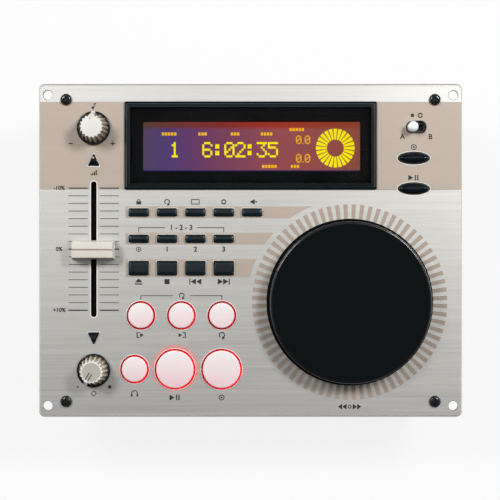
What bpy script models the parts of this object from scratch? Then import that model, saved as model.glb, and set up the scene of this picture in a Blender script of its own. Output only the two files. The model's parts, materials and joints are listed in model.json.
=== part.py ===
"""A disc player's control unit: a brushed faceplate full of buttons, knobs, a fader and a
search wheel over a sheet-metal case on rubber feet.

Metres, +Z up. X runs to the right of the panel and Y to its rear edge. The origin is under
the middle of the faceplate, on the surface that the feet stand on.
"""

import math

import bpy
import bmesh
from mathutils import Matrix

# Clearances that every piece shares
SEAT_GAP = 0.0003
BUTTON_GAP = 0.0003
CUT_OVERRUN = 0.002

# Faceplate
PLATE_THICKNESS = 0.002
PLATE_CORNER_RADIUS = 0.003
PLATE_CHAMFER = 0.0004
MOUNT_HOLE_RADIUS = 0.0023
MOUNT_HOLE_SIDE_INSET = 0.00445
MOUNT_HOLE_END_INSET = 0.00555

# Columns of the panel, from its left edge to its right edge
EDGE_TO_FADER = 0.02715
FADER_TO_KEYS = 0.0222
KEY_PITCH = 0.014
KEY_COLUMNS = 5
KEYS_TO_WHEEL = 0.0482
WHEEL_TO_RIGHT_COLUMN = 0.0317
RIGHT_COLUMN_TO_EDGE = 0.02395

# Rows of the panel, from its front edge to its rear edge
EDGE_TO_ROUND_ROW = 0.0236
ROUND_ROW_TO_LOOP_ROW = 0.02655
LOOP_ROW_TO_THIRD_ROW = 0.0234
THIRD_ROW_TO_SECOND_ROW = 0.0145
SECOND_ROW_TO_FIRST_ROW = 0.013
FIRST_ROW_TO_DISPLAY = 0.0113
DISPLAY_DEPTH = 0.0434
DISPLAY_TO_EDGE = 0.00875
EDGE_TO_WHEEL = 0.05675

# Case under the faceplate
FOOT_HEIGHT = 0.006
FOOT_RADIUS = 0.007
FOOT_TAPER = 0.001
FOOT_INSET = 0.013
FOOT_RECESS_RADIUS = 0.0035
FOOT_RECESS_DEPTH = 0.0015
BASE_THICKNESS = 0.0012
CASE_HEIGHT = 0.042
CASE_WALL = 0.0012
CASE_CORNER_RADIUS = 0.0025
CASE_SIDE_RIM = 0.00955
CASE_END_RIM = 0.00375
TAB_THICKNESS = 0.003
TAB_SCREW_INSET = 0.004
CASE_TAB_SIDE = 0.008

# Faceplate screws
SCREW_HEAD_RADIUS = 0.00285
SCREW_HEAD_HEIGHT = 0.0019
SCREW_SHANK_RADIUS = 0.0015
SCREW_SHANK_LENGTH = 0.0075
SCREW_RECESS_WIDTH = 0.0009
SCREW_RECESS_LENGTH = 0.0034
SCREW_RECESS_DEPTH = 0.0011

# Display
DISPLAY_LEFT_GAP = 0.0152
DISPLAY_RIGHT_GAP = 0.0183
BEZEL_RISE = 0.0018
BEZEL_EDGE = 0.0006
BEZEL_BEVEL = 0.0013
BEZEL_LIP = 0.0016
BEZEL_WALL = 0.0008
BEZEL_LEDGE = 0.0018
BEZEL_REACH = 0.0018
BEZEL_CORNER_RADIUS = 0.0003
WINDOW_THICKNESS = 0.0015
WINDOW_SINK = 0.0002
MODULE_THICKNESS = 0.005
MODULE_OVERLAP = 0.0012
GLASS_SIDE_MARGIN = 0.0045
GLASS_END_MARGIN = 0.0025

# Circuit boards that hang under the faceplate
BOARD_DROP = 0.0085
BOARD_THICKNESS = 0.0016
BOARD_EDGE = 0.009
POST_RADIUS = 0.0018
SWITCH_SIDE = 0.006
SWITCH_HEIGHT = 0.0036
CUP_DEPTH = 0.0016
STEM_WIDTH = 0.0024
BUTTON_TRAVEL = 0.0005
FLANGE_THICKNESS = 0.001
FLANGE_REACH = 0.0008

# Small rectangular buttons
KEY_WIDTH = 0.0099
KEY_DEPTH = 0.0039
TALL_KEY_DEPTH = 0.0071
KEY_RISE = 0.002
KEY_BEVEL = 0.0005
KEY_CORNER_RADIUS = 0.0005

# Round lit buttons
ROUND_SMALL_RADIUS = 0.00685
ROUND_LARGE_RADIUS = 0.00985
ROUND_RISE = 0.0023
ROUND_SHOULDER = 0.0006
LOOP_PITCH = 0.02
LOOP_INSET = 0.0011
MONITOR_INSET = 0.00205
ROUND_ROW_GAP = 0.0027

# Oval domed buttons
OVAL_LENGTH = 0.0156
OVAL_WIDTH = 0.0059
OVAL_RISE = 0.0022
DISPLAY_TO_LOW_OVAL = 0.0004
OVAL_PITCH = 0.0151
OVAL_TO_SELECT = 0.0153

# Triangular pitch bend buttons
BEND_WIDTH = 0.0052
BEND_LENGTH = 0.0055
BEND_RISE = 0.0014
BEND_TIP_WIDTH = 0.0005
BEND_TO_SLOT = 0.0105
BEND_TO_KNOB = 0.01575

# Pitch fader
FADER_TRAVEL = 0.06
FADER_SHIFT = 0.0052
SLOT_WIDTH = 0.00285
SLOT_END_CLEARANCE = 0.00105
BLADE_WIDTH = 0.0012
BLADE_LENGTH = 0.005
SLIDER_WIDTH = 0.0034
SLIDER_LENGTH = 0.006
SLIDER_HEIGHT = 0.002
SLIDER_END_CLEARANCE = 0.0005
FADER_BODY_WALL = 0.0027
FADER_BODY_HEIGHT = 0.007
FADER_BODY_FLOOR = 0.0015
CAP_LENGTH = 0.0099
CAP_WIDTH = 0.0212
CAP_TOP_LENGTH = 0.0075
CAP_TOP_WIDTH = 0.0199
CAP_HEIGHT = 0.0085
CAP_SKIRT = 0.0012
CAP_CORNER_RADIUS = 0.0012
CAP_LIFT = 0.0008
CAP_SOCKET_DEPTH = 0.0045
CAP_GROOVE_WIDTH = 0.0008
CAP_GROOVE_DEPTH = 0.0004

# Rotary knobs
KNOB_SKIRT_RADIUS = 0.0083
KNOB_SKIRT_HEIGHT = 0.0014
KNOB_FOOT_RADIUS = 0.0074
KNOB_TOP_RADIUS = 0.0056
KNOB_HEIGHT = 0.0125
KNOB_LIFT = 0.0006
KNOB_BEVEL = 0.0004
KNOB_FLUTES = 18
KNOB_FLUTE_DEPTH = 0.0004
KNOB_POINTER_WIDTH = 0.0012
KNOB_POINTER_RISE = 0.0004
KNOB_NUT_ROOM_RADIUS = 0.005
KNOB_NUT_ROOM_DEPTH = 0.003
KNOB_BORE_DEPTH = 0.009
FOCUS_REST_ANGLE = 240.0
KEY_REST_ANGLE = 90.0
POT_RADIUS = 0.0075
POT_HEIGHT = 0.0075
POT_BUSHING_RADIUS = 0.003
POT_BUSHING_RISE = 0.0018
POT_SHAFT_RADIUS = 0.0018
POT_WELL_DEPTH = 0.005

# Player select switch
SELECT_SHIFT = 0.00125
SELECT_KNOB_RADIUS = 0.00255
SELECT_KNOB_RISE = 0.0065
SELECT_KNOB_EDGE = 0.0006
SELECT_TRAVEL = 0.0041
SELECT_SIDE_CLEARANCE = 0.0005
SELECT_BODY_WALL = 0.002
SELECT_STEM_WIDTH = 0.0026
SELECT_STEM_DEPTH = 0.003

# Search wheel
WHEEL_RADIUS = 0.0413
WHEEL_TOP_INSET = 0.0008
WHEEL_FILLET = 0.002
WHEEL_HEIGHT = 0.011
WHEEL_LIFT = 0.001
WHEEL_RIM_WIDTH = 0.004
WHEEL_RECESS_DEPTH = 0.003
WHEEL_HUB_RADIUS = 0.009
WHEEL_BORE_DEPTH = 0.008
WHEEL_SHAFT_RADIUS = 0.003
SHAFT_COLLAR_REACH = 0.0015
SHAFT_COLLAR_HEIGHT = 0.0015
BEARING_WALL = 0.0025
BEARING_FLANGE_RADIUS = 0.0135
BEARING_FLANGE_THICKNESS = 0.003
BEARING_LENGTH = 0.0095
ENCODER_RADIUS = 0.015
ENCODER_THICKNESS = 0.001
ENCODER_TEETH = 24
ENCODER_TOOTH_DEPTH = 0.002
SENSOR_CLEARANCE = 0.0005
SENSOR_ARM = 0.0015
SENSOR_WIDTH = 0.006
SENSOR_BACK = 0.0035

# Main board, its socket and the ribbon cable
MAIN_BOARD_MARGIN = 0.016
STANDOFF_HEIGHT = 0.006
STANDOFF_RADIUS = 0.0025
STANDOFF_INSET = 0.006
HEADER_LENGTH = 0.022
HEADER_WIDTH = 0.005
HEADER_HEIGHT = 0.004
RIBBON_WIDTH = 0.018
RIBBON_THICKNESS = 0.0008
RIBBON_SLACK = 0.005
CHIP_SIDE = 0.018
CHIP_HEIGHT = 0.0025
CAPACITOR_RADIUS = 0.004
CAPACITOR_HEIGHT = 0.01
SOCKET_WIDTH = 0.026
SOCKET_HEIGHT = 0.012
SOCKET_WALL = 0.0015
SOCKET_MOUTH_DEPTH = 0.008
SOCKET_LENGTH = 0.018
SOCKET_FLANGE_REACH = 0.003
SOCKET_FLANGE_THICKNESS = 0.0012

# Shares of the sizes that they follow
NEARLY_ROUND_SHARE = 0.98
OVAL_DOME_SHARES = [(0.34, 1.0), (0.2, 0.93), (0.08, 0.72), (0.0, 0.4)]
SCREW_HEAD_SHARES = [(0.55, 1.0), (0.85, 0.8), (1.0, 0.45)]
CHIP_SHARES = [(-0.25, 0.2), (0.12, 0.1)]
CAPACITOR_SHARES = [(0.32, 0.3), (0.32, 0.18), (0.22, 0.3)]
RIBBON_X_SHARE = -0.2
RIBBON_Y_SHARE = -0.4

# Facets and shading
SHARP_DEGREES = 35.0
SMALL_SIDES = 12
HOLE_SIDES = 20
LARGE_SIDES = 28
KNOB_SIDES_PER_FLUTE = 3
WHEEL_SIDES = 64
ARC_STEPS = 2
RIBBON_STEPS = 10

# Places across the panel
KEY_SPAN = (KEY_COLUMNS - 1) * KEY_PITCH
PLATE_WIDTH = (EDGE_TO_FADER + FADER_TO_KEYS + KEY_SPAN + KEYS_TO_WHEEL
               + WHEEL_TO_RIGHT_COLUMN + RIGHT_COLUMN_TO_EDGE)
PLATE_DEPTH = (EDGE_TO_ROUND_ROW + ROUND_ROW_TO_LOOP_ROW + LOOP_ROW_TO_THIRD_ROW
               + THIRD_ROW_TO_SECOND_ROW + SECOND_ROW_TO_FIRST_ROW
               + FIRST_ROW_TO_DISPLAY + DISPLAY_DEPTH + DISPLAY_TO_EDGE)
FADER_X = EDGE_TO_FADER - PLATE_WIDTH / 2
KEYS_X = FADER_X + FADER_TO_KEYS
WHEEL_X = KEYS_X + KEY_SPAN + KEYS_TO_WHEEL
RIGHT_X = WHEEL_X + WHEEL_TO_RIGHT_COLUMN
ROUND_Y = EDGE_TO_ROUND_ROW - PLATE_DEPTH / 2
LOOP_Y = ROUND_Y + ROUND_ROW_TO_LOOP_ROW
THIRD_ROW_Y = LOOP_Y + LOOP_ROW_TO_THIRD_ROW
SECOND_ROW_Y = THIRD_ROW_Y + THIRD_ROW_TO_SECOND_ROW
FIRST_ROW_Y = SECOND_ROW_Y + SECOND_ROW_TO_FIRST_ROW
DISPLAY_FRONT_Y = FIRST_ROW_Y + FIRST_ROW_TO_DISPLAY
DISPLAY_Y = DISPLAY_FRONT_Y + DISPLAY_DEPTH / 2
WHEEL_Y = EDGE_TO_WHEEL - PLATE_DEPTH / 2
DISPLAY_LEFT_X = FADER_X + DISPLAY_LEFT_GAP
DISPLAY_WIDTH = RIGHT_X - DISPLAY_RIGHT_GAP - DISPLAY_LEFT_X
DISPLAY_X = DISPLAY_LEFT_X + DISPLAY_WIDTH / 2
LOOP_X = KEYS_X + LOOP_INSET
MONITOR_X = KEYS_X - MONITOR_INSET
PLAY_X = MONITOR_X + ROUND_SMALL_RADIUS + ROUND_ROW_GAP + ROUND_LARGE_RADIUS + BUTTON_GAP * 2
CUE_X = PLAY_X + ROUND_LARGE_RADIUS * 2 + ROUND_ROW_GAP + BUTTON_GAP * 2
LOW_OVAL_Y = DISPLAY_FRONT_Y + DISPLAY_TO_LOW_OVAL
HIGH_OVAL_Y = LOW_OVAL_Y + OVAL_PITCH
SELECT_X = RIGHT_X + SELECT_SHIFT
SELECT_Y = HIGH_OVAL_Y + OVAL_TO_SELECT
FADER_Y = SECOND_ROW_Y - FADER_SHIFT
SLOT_LENGTH = FADER_TRAVEL + BLADE_LENGTH + SLOT_END_CLEARANCE * 2
BEND_UP_Y = FADER_Y + SLOT_LENGTH / 2 + BEND_TO_SLOT
BEND_DOWN_Y = FADER_Y - SLOT_LENGTH / 2 - BEND_TO_SLOT
KEY_KNOB_Y = BEND_UP_Y + BEND_TO_KNOB
FOCUS_KNOB_Y = BEND_DOWN_Y - BEND_TO_KNOB

# Sizes of the case that follow the faceplate
CASE_WIDTH = PLATE_WIDTH - CASE_SIDE_RIM * 2
CASE_DEPTH = PLATE_DEPTH - CASE_END_RIM * 2
SCREW_X = CASE_WIDTH / 2 - TAB_SCREW_INSET
SCREW_Y = CASE_DEPTH / 2 - TAB_SCREW_INSET
MOUNT_HOLE_X = PLATE_WIDTH / 2 - MOUNT_HOLE_SIDE_INSET
MOUNT_HOLE_Y = PLATE_DEPTH / 2 - MOUNT_HOLE_END_INSET
MAIN_BOARD_WIDTH = CASE_WIDTH - MAIN_BOARD_MARGIN * 2
MAIN_BOARD_DEPTH = CASE_DEPTH - MAIN_BOARD_MARGIN * 2
RIBBON_X = MAIN_BOARD_WIDTH * RIBBON_X_SHARE
RIBBON_Y = MAIN_BOARD_DEPTH * RIBBON_Y_SHARE
SELECT_SLOT_LENGTH = SELECT_TRAVEL + (SELECT_KNOB_RADIUS + SELECT_SIDE_CLEARANCE) * 2
SELECT_SLOT_WIDTH = (SELECT_KNOB_RADIUS + SELECT_SIDE_CLEARANCE) * 2

# Levels above the surface the feet stand on
BASE_BOTTOM = FOOT_HEIGHT + SEAT_GAP
BASE_TOP = BASE_BOTTOM + BASE_THICKNESS
CASE_BOTTOM = BASE_TOP + SEAT_GAP
CASE_TOP = CASE_BOTTOM + CASE_HEIGHT
PLATE_TOP = CASE_TOP + SEAT_GAP + PLATE_THICKNESS
MAIN_BOARD_BOTTOM = BASE_TOP + STANDOFF_HEIGHT + SEAT_GAP
MAIN_BOARD_TOP = MAIN_BOARD_BOTTOM + BOARD_THICKNESS
SOCKET_Z = MAIN_BOARD_TOP + SEAT_GAP + SOCKET_HEIGHT / 2

# Levels counted from the top of the faceplate
PLATE_UNDERSIDE = -PLATE_THICKNESS
HANG_LEVEL = PLATE_UNDERSIDE - SEAT_GAP
BOARD_LEVEL = HANG_LEVEL - BOARD_DROP
BOARD_UNDERSIDE = BOARD_LEVEL - BOARD_THICKNESS
SWITCH_LEVEL = BOARD_LEVEL + SWITCH_HEIGHT
STEM_LEVEL = SWITCH_LEVEL - CUP_DEPTH + SEAT_GAP + BUTTON_TRAVEL
WINDOW_LEVEL = BEZEL_RISE - WINDOW_SINK
LEDGE_LEVEL = WINDOW_LEVEL - WINDOW_THICKNESS - SEAT_GAP
BEZEL_UNDERSIDE = PLATE_UNDERSIDE - BEZEL_REACH

# Distances in from the bezel's outer edge
BEZEL_BODY_INSET = BEZEL_LIP + SEAT_GAP
BEZEL_POCKET_INSET = BEZEL_BODY_INSET + BEZEL_WALL
WINDOW_INSET = BEZEL_POCKET_INSET + SEAT_GAP
BEZEL_OPENING_INSET = BEZEL_POCKET_INSET + BEZEL_LEDGE


def clear_scene():
    """Remove whatever the scene holds."""
    for item in list(bpy.data.objects):
        bpy.data.objects.remove(item)


def make_material(name, colour, roughness, metallic=0.0):
    """Return a Principled material."""
    material = bpy.data.materials.new(name)
    material.use_nodes = True
    shader = material.node_tree.nodes["Principled BSDF"]
    shader.inputs["Base Color"].default_value = (*colour, 1.0)
    shader.inputs["Roughness"].default_value = roughness
    shader.inputs["Metallic"].default_value = metallic
    return material


def make_materials():
    """Return the finishes of the sub-parts by name."""
    return {
        "plate": make_material("brushed_plate", (0.62, 0.61, 0.58), 0.35, 1.0),
        "case": make_material("painted_case", (0.045, 0.045, 0.048), 0.55),
        "steel": make_material("plated_steel", (0.55, 0.55, 0.56), 0.4, 1.0),
        "screw": make_material("black_screw", (0.02, 0.02, 0.021), 0.35, 0.6),
        "rubber": make_material("foot_rubber", (0.025, 0.025, 0.025), 0.85),
        "black": make_material("gloss_black_plastic", (0.012, 0.012, 0.013), 0.2),
        "window": make_material("smoked_window", (0.02, 0.016, 0.018), 0.08),
        "lcd": make_material("display_glass", (0.2, 0.06, 0.1), 0.3),
        "board": make_material("circuit_board", (0.03, 0.16, 0.07), 0.5),
        "key": make_material("black_button", (0.015, 0.016, 0.018), 0.3),
        "lit": make_material("lit_button", (0.9, 0.72, 0.72), 0.3),
        "cream": make_material("cream_plastic", (0.76, 0.73, 0.64), 0.45),
        "wheel": make_material("wheel_black", (0.012, 0.014, 0.016), 0.5),
        "bearing": make_material("bearing_plastic", (0.7, 0.7, 0.66), 0.5),
        "chrome": make_material("polished_metal", (0.75, 0.75, 0.76), 0.15, 1.0),
        "cable": make_material("ribbon_grey", (0.45, 0.45, 0.47), 0.6),
    }


def make_empty(name, height):
    """Return an empty that carries the pieces counted from this height."""
    empty = bpy.data.objects.new(name, None)
    empty.location = (0, 0, height)
    bpy.context.scene.collection.objects.link(empty)
    return empty


# Outlines, as lists of points anticlockwise from above


def circle(radius, sides, start=0.0):
    """Return the points of a regular polygon round the origin."""
    angles = [start + math.tau * index / sides for index in range(sides)]
    return [(radius * math.cos(angle), radius * math.sin(angle)) for angle in angles]


def ellipse(half_length, half_width, sides):
    """Return the points of an ellipse round the origin, longest along X."""
    return [(half_length * x, half_width * y) for x, y in circle(1, sides)]


def rounded_rectangle(width, depth, radius, steps=1):
    """Return a rectangle with rounded corners, centred on the origin."""
    points = []
    centres = [(1, 1), (-1, 1), (-1, -1), (1, -1)]
    for corner, (side_x, side_y) in enumerate(centres):
        centre_x = side_x * (width / 2 - radius)
        centre_y = side_y * (depth / 2 - radius)
        for step in range(steps + 1):
            angle = math.pi / 2 * (corner + step / steps)
            points.append((centre_x + radius * math.cos(angle),
                           centre_y + radius * math.sin(angle)))
    return points


def rectangle(width, depth):
    """Return a sharp-cornered rectangle, centred on the origin."""
    half_x = width / 2
    half_y = depth / 2
    return [(half_x, half_y), (-half_x, half_y), (-half_x, -half_y), (half_x, -half_y)]


def triangle(width, length, tip, points_up):
    """Return an isosceles triangle with blunted tips, pointing to +Y or to -Y."""
    high = length / 2
    points = [(tip / 2, high), (-tip / 2, high), (-width / 2, tip - high),
              (tip / 2 - width / 2, -high), (width / 2 - tip / 2, -high), (width / 2, tip - high)]
    if points_up:
        return points
    return [(-x, -y) for x, y in points]


def moved(outline, x, y):
    """Return the outline shifted by x and y."""
    return [(point_x + x, point_y + y) for point_x, point_y in outline]


# Solids


def loft(levels):
    """Return a closed mesh through rings of points, given from the top level down."""
    bm = bmesh.new()
    rings = [[bm.verts.new((x, y, z)) for x, y in outline] for outline, z in levels]
    for upper, lower in zip(rings, rings[1:]):
        for index, point in enumerate(upper):
            after = (index + 1) % len(upper)
            bm.faces.new((point, lower[index], lower[after], upper[after]))
    bm.faces.new(rings[0])
    bm.faces.new(reversed(rings[-1]))
    return bm


def frame_loft(levels):
    """Return a closed ring-shaped mesh whose section is the given levels in turn."""
    bm = bmesh.new()
    rings = [[bm.verts.new((x, y, z)) for x, y in outline] for outline, z in levels]
    for upper, lower in zip(rings, rings[1:] + rings[:1]):
        for index, point in enumerate(upper):
            after = (index + 1) % len(upper)
            bm.faces.new((point, lower[index], lower[after], upper[after]))
    return bm


def prism(outline, low, high):
    """Return a straight solid over the outline between two heights."""
    return loft([(outline, high), (outline, low)])


def turned(profile, sides):
    """Return a solid of revolution; the profile is (radius, height) from the top down."""
    return loft([(circle(radius, sides), height) for radius, height in profile])


def turned_ring(profile, sides):
    """Return a hollow solid of revolution from a closed profile."""
    return frame_loft([(circle(radius, sides), height) for radius, height in profile])


def arc_profile(radius_out, height_top, fillet, steps=ARC_STEPS):
    """Return the rounded top edge of a turned profile, from the top face outwards."""
    angles = [math.pi / 2 * (1 - step / steps) for step in range(steps + 1)]
    return [(radius_out - fillet + fillet * math.cos(angle),
             height_top - fillet + fillet * math.sin(angle)) for angle in angles]


def make_object(name, bm, material=None, parent=None, place=(0, 0)):
    """Link a new object that holds the mesh, shaded smooth between its sharp edges."""
    bmesh.ops.recalc_face_normals(bm, faces=bm.faces)
    mesh = bpy.data.meshes.new(name)
    bm.to_mesh(mesh)
    bm.free()
    if material:
        mesh.materials.append(material)
    mesh.shade_smooth()
    mesh.set_sharp_from_angle(angle=math.radians(SHARP_DEGREES))
    item = bpy.data.objects.new(name, mesh)
    item.location = (*place, 0)
    item.parent = parent
    bpy.context.scene.collection.objects.link(item)
    return item


def combine(target, bm, operation):
    """Join the mesh to the target, or cut it from it, in the target's own space."""
    tool = make_object("tool", bm, parent=target.parent, place=target.location[:2])
    modifier = target.modifiers.new(operation.lower(), "BOOLEAN")
    modifier.operation = operation
    modifier.object = tool
    bpy.context.view_layer.update()
    graph = bpy.context.evaluated_depsgraph_get()
    result = bpy.data.meshes.new_from_object(target.evaluated_get(graph))
    target.modifiers.clear()
    target.data = result
    result.shade_smooth()
    result.set_sharp_from_angle(angle=math.radians(SHARP_DEGREES))
    bpy.data.objects.remove(tool)


def merged(meshes):
    """Return one mesh that holds all the given meshes, which stay apart."""
    whole = bmesh.new()
    for bm in meshes:
        carrier = bpy.data.meshes.new("carrier")
        bmesh.ops.recalc_face_normals(bm, faces=bm.faces)
        bm.to_mesh(carrier)
        bm.free()
        whole.from_mesh(carrier)
        bpy.data.meshes.remove(carrier)
    return whole


# Buttons


def button_levels(cap_levels, outline_at):
    """Return a button's rings: the cap, the flange under the plate and the stem."""
    stem = outline_at(stem=True)
    flange = outline_at(-FLANGE_REACH)
    body = outline_at()
    return cap_levels + [
        (body, HANG_LEVEL),
        (flange, HANG_LEVEL),
        (flange, HANG_LEVEL - FLANGE_THICKNESS),
        (stem, HANG_LEVEL - FLANGE_THICKNESS),
        (stem, STEM_LEVEL),
    ]


def stem_outline(count):
    """Return the stem's outline with as many points as the cap above it."""
    return circle(STEM_WIDTH / 2, count, math.pi / count)


def key_shape(depth):
    """Return the mesh of a small rectangular button and the outline of its hole."""
    def outline(inset=0.0, stem=False):
        points = rounded_rectangle(KEY_WIDTH - inset * 2, depth - inset * 2, KEY_CORNER_RADIUS)
        return stem_outline(len(points)) if stem else points
    cap = [(outline(KEY_BEVEL), KEY_RISE), (outline(), KEY_RISE - KEY_BEVEL)]
    return loft(button_levels(cap, outline)), outline(-BUTTON_GAP)


def round_shape(radius, sides):
    """Return the mesh of a round lit button and the outline of its hole."""
    def outline(inset=0.0, stem=False):
        return circle(STEM_WIDTH / 2 if stem else radius - inset, sides)
    shoulder = arc_profile(radius - ROUND_SHOULDER / 2, ROUND_RISE, ROUND_SHOULDER)
    cap = [(circle(edge, sides), height) for edge, height in shoulder]
    cap.append((outline(), 0))
    return loft(button_levels(cap, outline)), outline(-BUTTON_GAP)


def oval_shape():
    """Return the mesh of an oval domed button and the outline of its hole."""
    def outline(inset=0.0, stem=False):
        if stem:
            return stem_outline(HOLE_SIDES)
        return ellipse(OVAL_LENGTH / 2 - inset, OVAL_WIDTH / 2 - inset, HOLE_SIDES)
    cap = [(outline(OVAL_WIDTH * inset), OVAL_RISE * rise) for inset, rise in OVAL_DOME_SHARES]
    cap.append((outline(), 0))
    return loft(button_levels(cap, outline)), outline(-BUTTON_GAP)


def bend_shape(points_up):
    """Return the mesh of a triangular pitch bend button and the outline of its hole."""
    def outline(inset=0.0, stem=False):
        points = triangle(BEND_WIDTH - inset * 2, BEND_LENGTH - inset * 2, BEND_TIP_WIDTH, points_up)
        return stem_outline(len(points)) if stem else points
    cap = [(outline(KEY_BEVEL), BEND_RISE), (outline(), BEND_RISE - KEY_BEVEL)]
    return loft(button_levels(cap, outline)), outline(-BUTTON_GAP)


def button_places():
    """Return every button as its name, its kind and its place on the panel."""
    first_row = ("tempo_lock", "repeat", "display", "ring_display", "reverse")
    second_row = ("memo", "memory_1", "memory_2", "memory_3")
    third_row = ("open_close", "stop", "skip_back", "skip_forward")
    loop_row = ("loop_start", "loop_end", "reloop")
    places = []
    for names, kind, y in ((first_row, "key", FIRST_ROW_Y), (second_row, "key", SECOND_ROW_Y),
                           (third_row, "tall_key", THIRD_ROW_Y)):
        for column, name in enumerate(names):
            places.append((name, kind, KEYS_X + column * KEY_PITCH, y))
    for column, name in enumerate(loop_row):
        places.append((name, "round", LOOP_X + column * LOOP_PITCH, LOOP_Y))
    places.append(("monitor", "round", MONITOR_X, ROUND_Y))
    places.append(("play_pause", "large_round", PLAY_X, ROUND_Y))
    places.append(("cue", "large_round", CUE_X, ROUND_Y))
    places.append(("player_cue", "oval", RIGHT_X, HIGH_OVAL_Y))
    places.append(("player_play", "oval", RIGHT_X, LOW_OVAL_Y))
    places.append(("pitch_bend_up", "bend_up", FADER_X, BEND_UP_Y))
    places.append(("pitch_bend_down", "bend_down", FADER_X, BEND_DOWN_Y))
    return places


def button_shape(kind):
    """Return the mesh of one kind of button and the outline of its hole."""
    shapes = {
        "key": lambda: key_shape(KEY_DEPTH),
        "tall_key": lambda: key_shape(TALL_KEY_DEPTH),
        "round": lambda: round_shape(ROUND_SMALL_RADIUS, HOLE_SIDES),
        "large_round": lambda: round_shape(ROUND_LARGE_RADIUS, LARGE_SIDES),
        "oval": oval_shape,
        "bend_up": lambda: bend_shape(True),
        "bend_down": lambda: bend_shape(False),
    }
    return shapes[kind]()


def make_buttons(panel, finishes):
    """Make each button and return the cutters of their holes in the faceplate."""
    holes = []
    for name, kind, x, y in button_places():
        mesh, hole = button_shape(kind)
        finish = finishes["lit"] if "round" in kind else finishes["key"]
        make_object(name + "_button", mesh, finish, panel, (x, y))
        holes.append(through_cutter(moved(hole, x, y)))
    return holes


# Faceplate


def through_cutter(outline):
    """Return a cutter that runs past both faces of the faceplate."""
    return prism(outline, PLATE_UNDERSIDE - CUT_OVERRUN, CUT_OVERRUN)


def corners(x, y):
    """Return the four places that mirror one corner's place."""
    return [(side_x * x, side_y * y) for side_y in (1, -1) for side_x in (1, -1)]


def slot_outline(length, width):
    """Return a slot with round ends that runs along Y."""
    return rounded_rectangle(width, length, width / 2 * NEARLY_ROUND_SHARE, ARC_STEPS)


def make_faceplate(panel, finishes, button_holes):
    """Make the faceplate with every hole that a control or a screw passes."""
    outline = rounded_rectangle(PLATE_WIDTH, PLATE_DEPTH, PLATE_CORNER_RADIUS, ARC_STEPS)
    top = rounded_rectangle(PLATE_WIDTH - PLATE_CHAMFER * 2, PLATE_DEPTH - PLATE_CHAMFER * 2,
                            PLATE_CORNER_RADIUS - PLATE_CHAMFER, ARC_STEPS)
    plate = make_object("faceplate", loft([
        (top, 0), (outline, -PLATE_CHAMFER), (outline, PLATE_UNDERSIDE)]), finishes["plate"], panel)
    holes = list(button_holes)
    for x, y in corners(MOUNT_HOLE_X, MOUNT_HOLE_Y):
        holes.append(through_cutter(moved(circle(MOUNT_HOLE_RADIUS, HOLE_SIDES), x, y)))
    for x, y in corners(SCREW_X, SCREW_Y):
        shank_hole = circle(SCREW_SHANK_RADIUS + SEAT_GAP, SMALL_SIDES)
        holes.append(through_cutter(moved(shank_hole, x, y)))
    for y in (KEY_KNOB_Y, FOCUS_KNOB_Y):
        bushing_hole = circle(POT_BUSHING_RADIUS + SEAT_GAP, SMALL_SIDES)
        holes.append(through_cutter(moved(bushing_hole, FADER_X, y)))
    bearing_hole = circle(WHEEL_SHAFT_RADIUS + BEARING_WALL + SEAT_GAP * 2, HOLE_SIDES)
    holes.append(through_cutter(moved(bearing_hole, WHEEL_X, WHEEL_Y)))
    holes.append(through_cutter(moved(slot_outline(SLOT_LENGTH, SLOT_WIDTH), FADER_X, FADER_Y)))
    select_slot = rounded_rectangle(SELECT_SLOT_LENGTH, SELECT_SLOT_WIDTH,
                                    SELECT_SLOT_WIDTH / 2 * NEARLY_ROUND_SHARE, ARC_STEPS)
    holes.append(through_cutter(moved(select_slot, SELECT_X, SELECT_Y)))
    display_hole = rectangle(DISPLAY_WIDTH - BEZEL_LIP * 2, DISPLAY_DEPTH - BEZEL_LIP * 2)
    holes.append(through_cutter(moved(display_hole, DISPLAY_X, DISPLAY_Y)))
    combine(plate, merged(holes), "DIFFERENCE")


def screw_recess():
    """Return the cross-shaped driver recess of a faceplate screw."""
    floor = SEAT_GAP + SCREW_HEAD_HEIGHT - SCREW_RECESS_DEPTH
    bar = rectangle(SCREW_RECESS_LENGTH, SCREW_RECESS_WIDTH)
    crossbar = rectangle(SCREW_RECESS_WIDTH, SCREW_RECESS_LENGTH)
    return [prism(shape, floor, SCREW_HEAD_HEIGHT + CUT_OVERRUN) for shape in (bar, crossbar)]


def make_faceplate_screws(panel, finishes):
    """Make the four pan-head screws that hold the faceplate to the case."""
    top = SEAT_GAP + SCREW_HEAD_HEIGHT
    profile = [(SCREW_HEAD_RADIUS * across, SEAT_GAP + SCREW_HEAD_HEIGHT * up)
               for across, up in SCREW_HEAD_SHARES]
    profile += [(SCREW_HEAD_RADIUS, SEAT_GAP), (SCREW_SHANK_RADIUS, SEAT_GAP),
                (SCREW_SHANK_RADIUS, top - SCREW_HEAD_HEIGHT - SCREW_SHANK_LENGTH)]
    names = ("rear_right", "rear_left", "front_right", "front_left")
    for name, place in zip(names, corners(SCREW_X, SCREW_Y)):
        screw = make_object("faceplate_screw_" + name, turned(profile, SMALL_SIDES),
                            finishes["screw"], panel, place)
        for cut in screw_recess():
            combine(screw, cut, "DIFFERENCE")


# Case


def tab_places():
    """Return the centres of the case's corner tabs."""
    x = CASE_WIDTH / 2 - CASE_TAB_SIDE / 2 - CASE_WALL / 2
    y = CASE_DEPTH / 2 - CASE_TAB_SIDE / 2 - CASE_WALL / 2
    return corners(x, y)


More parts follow.
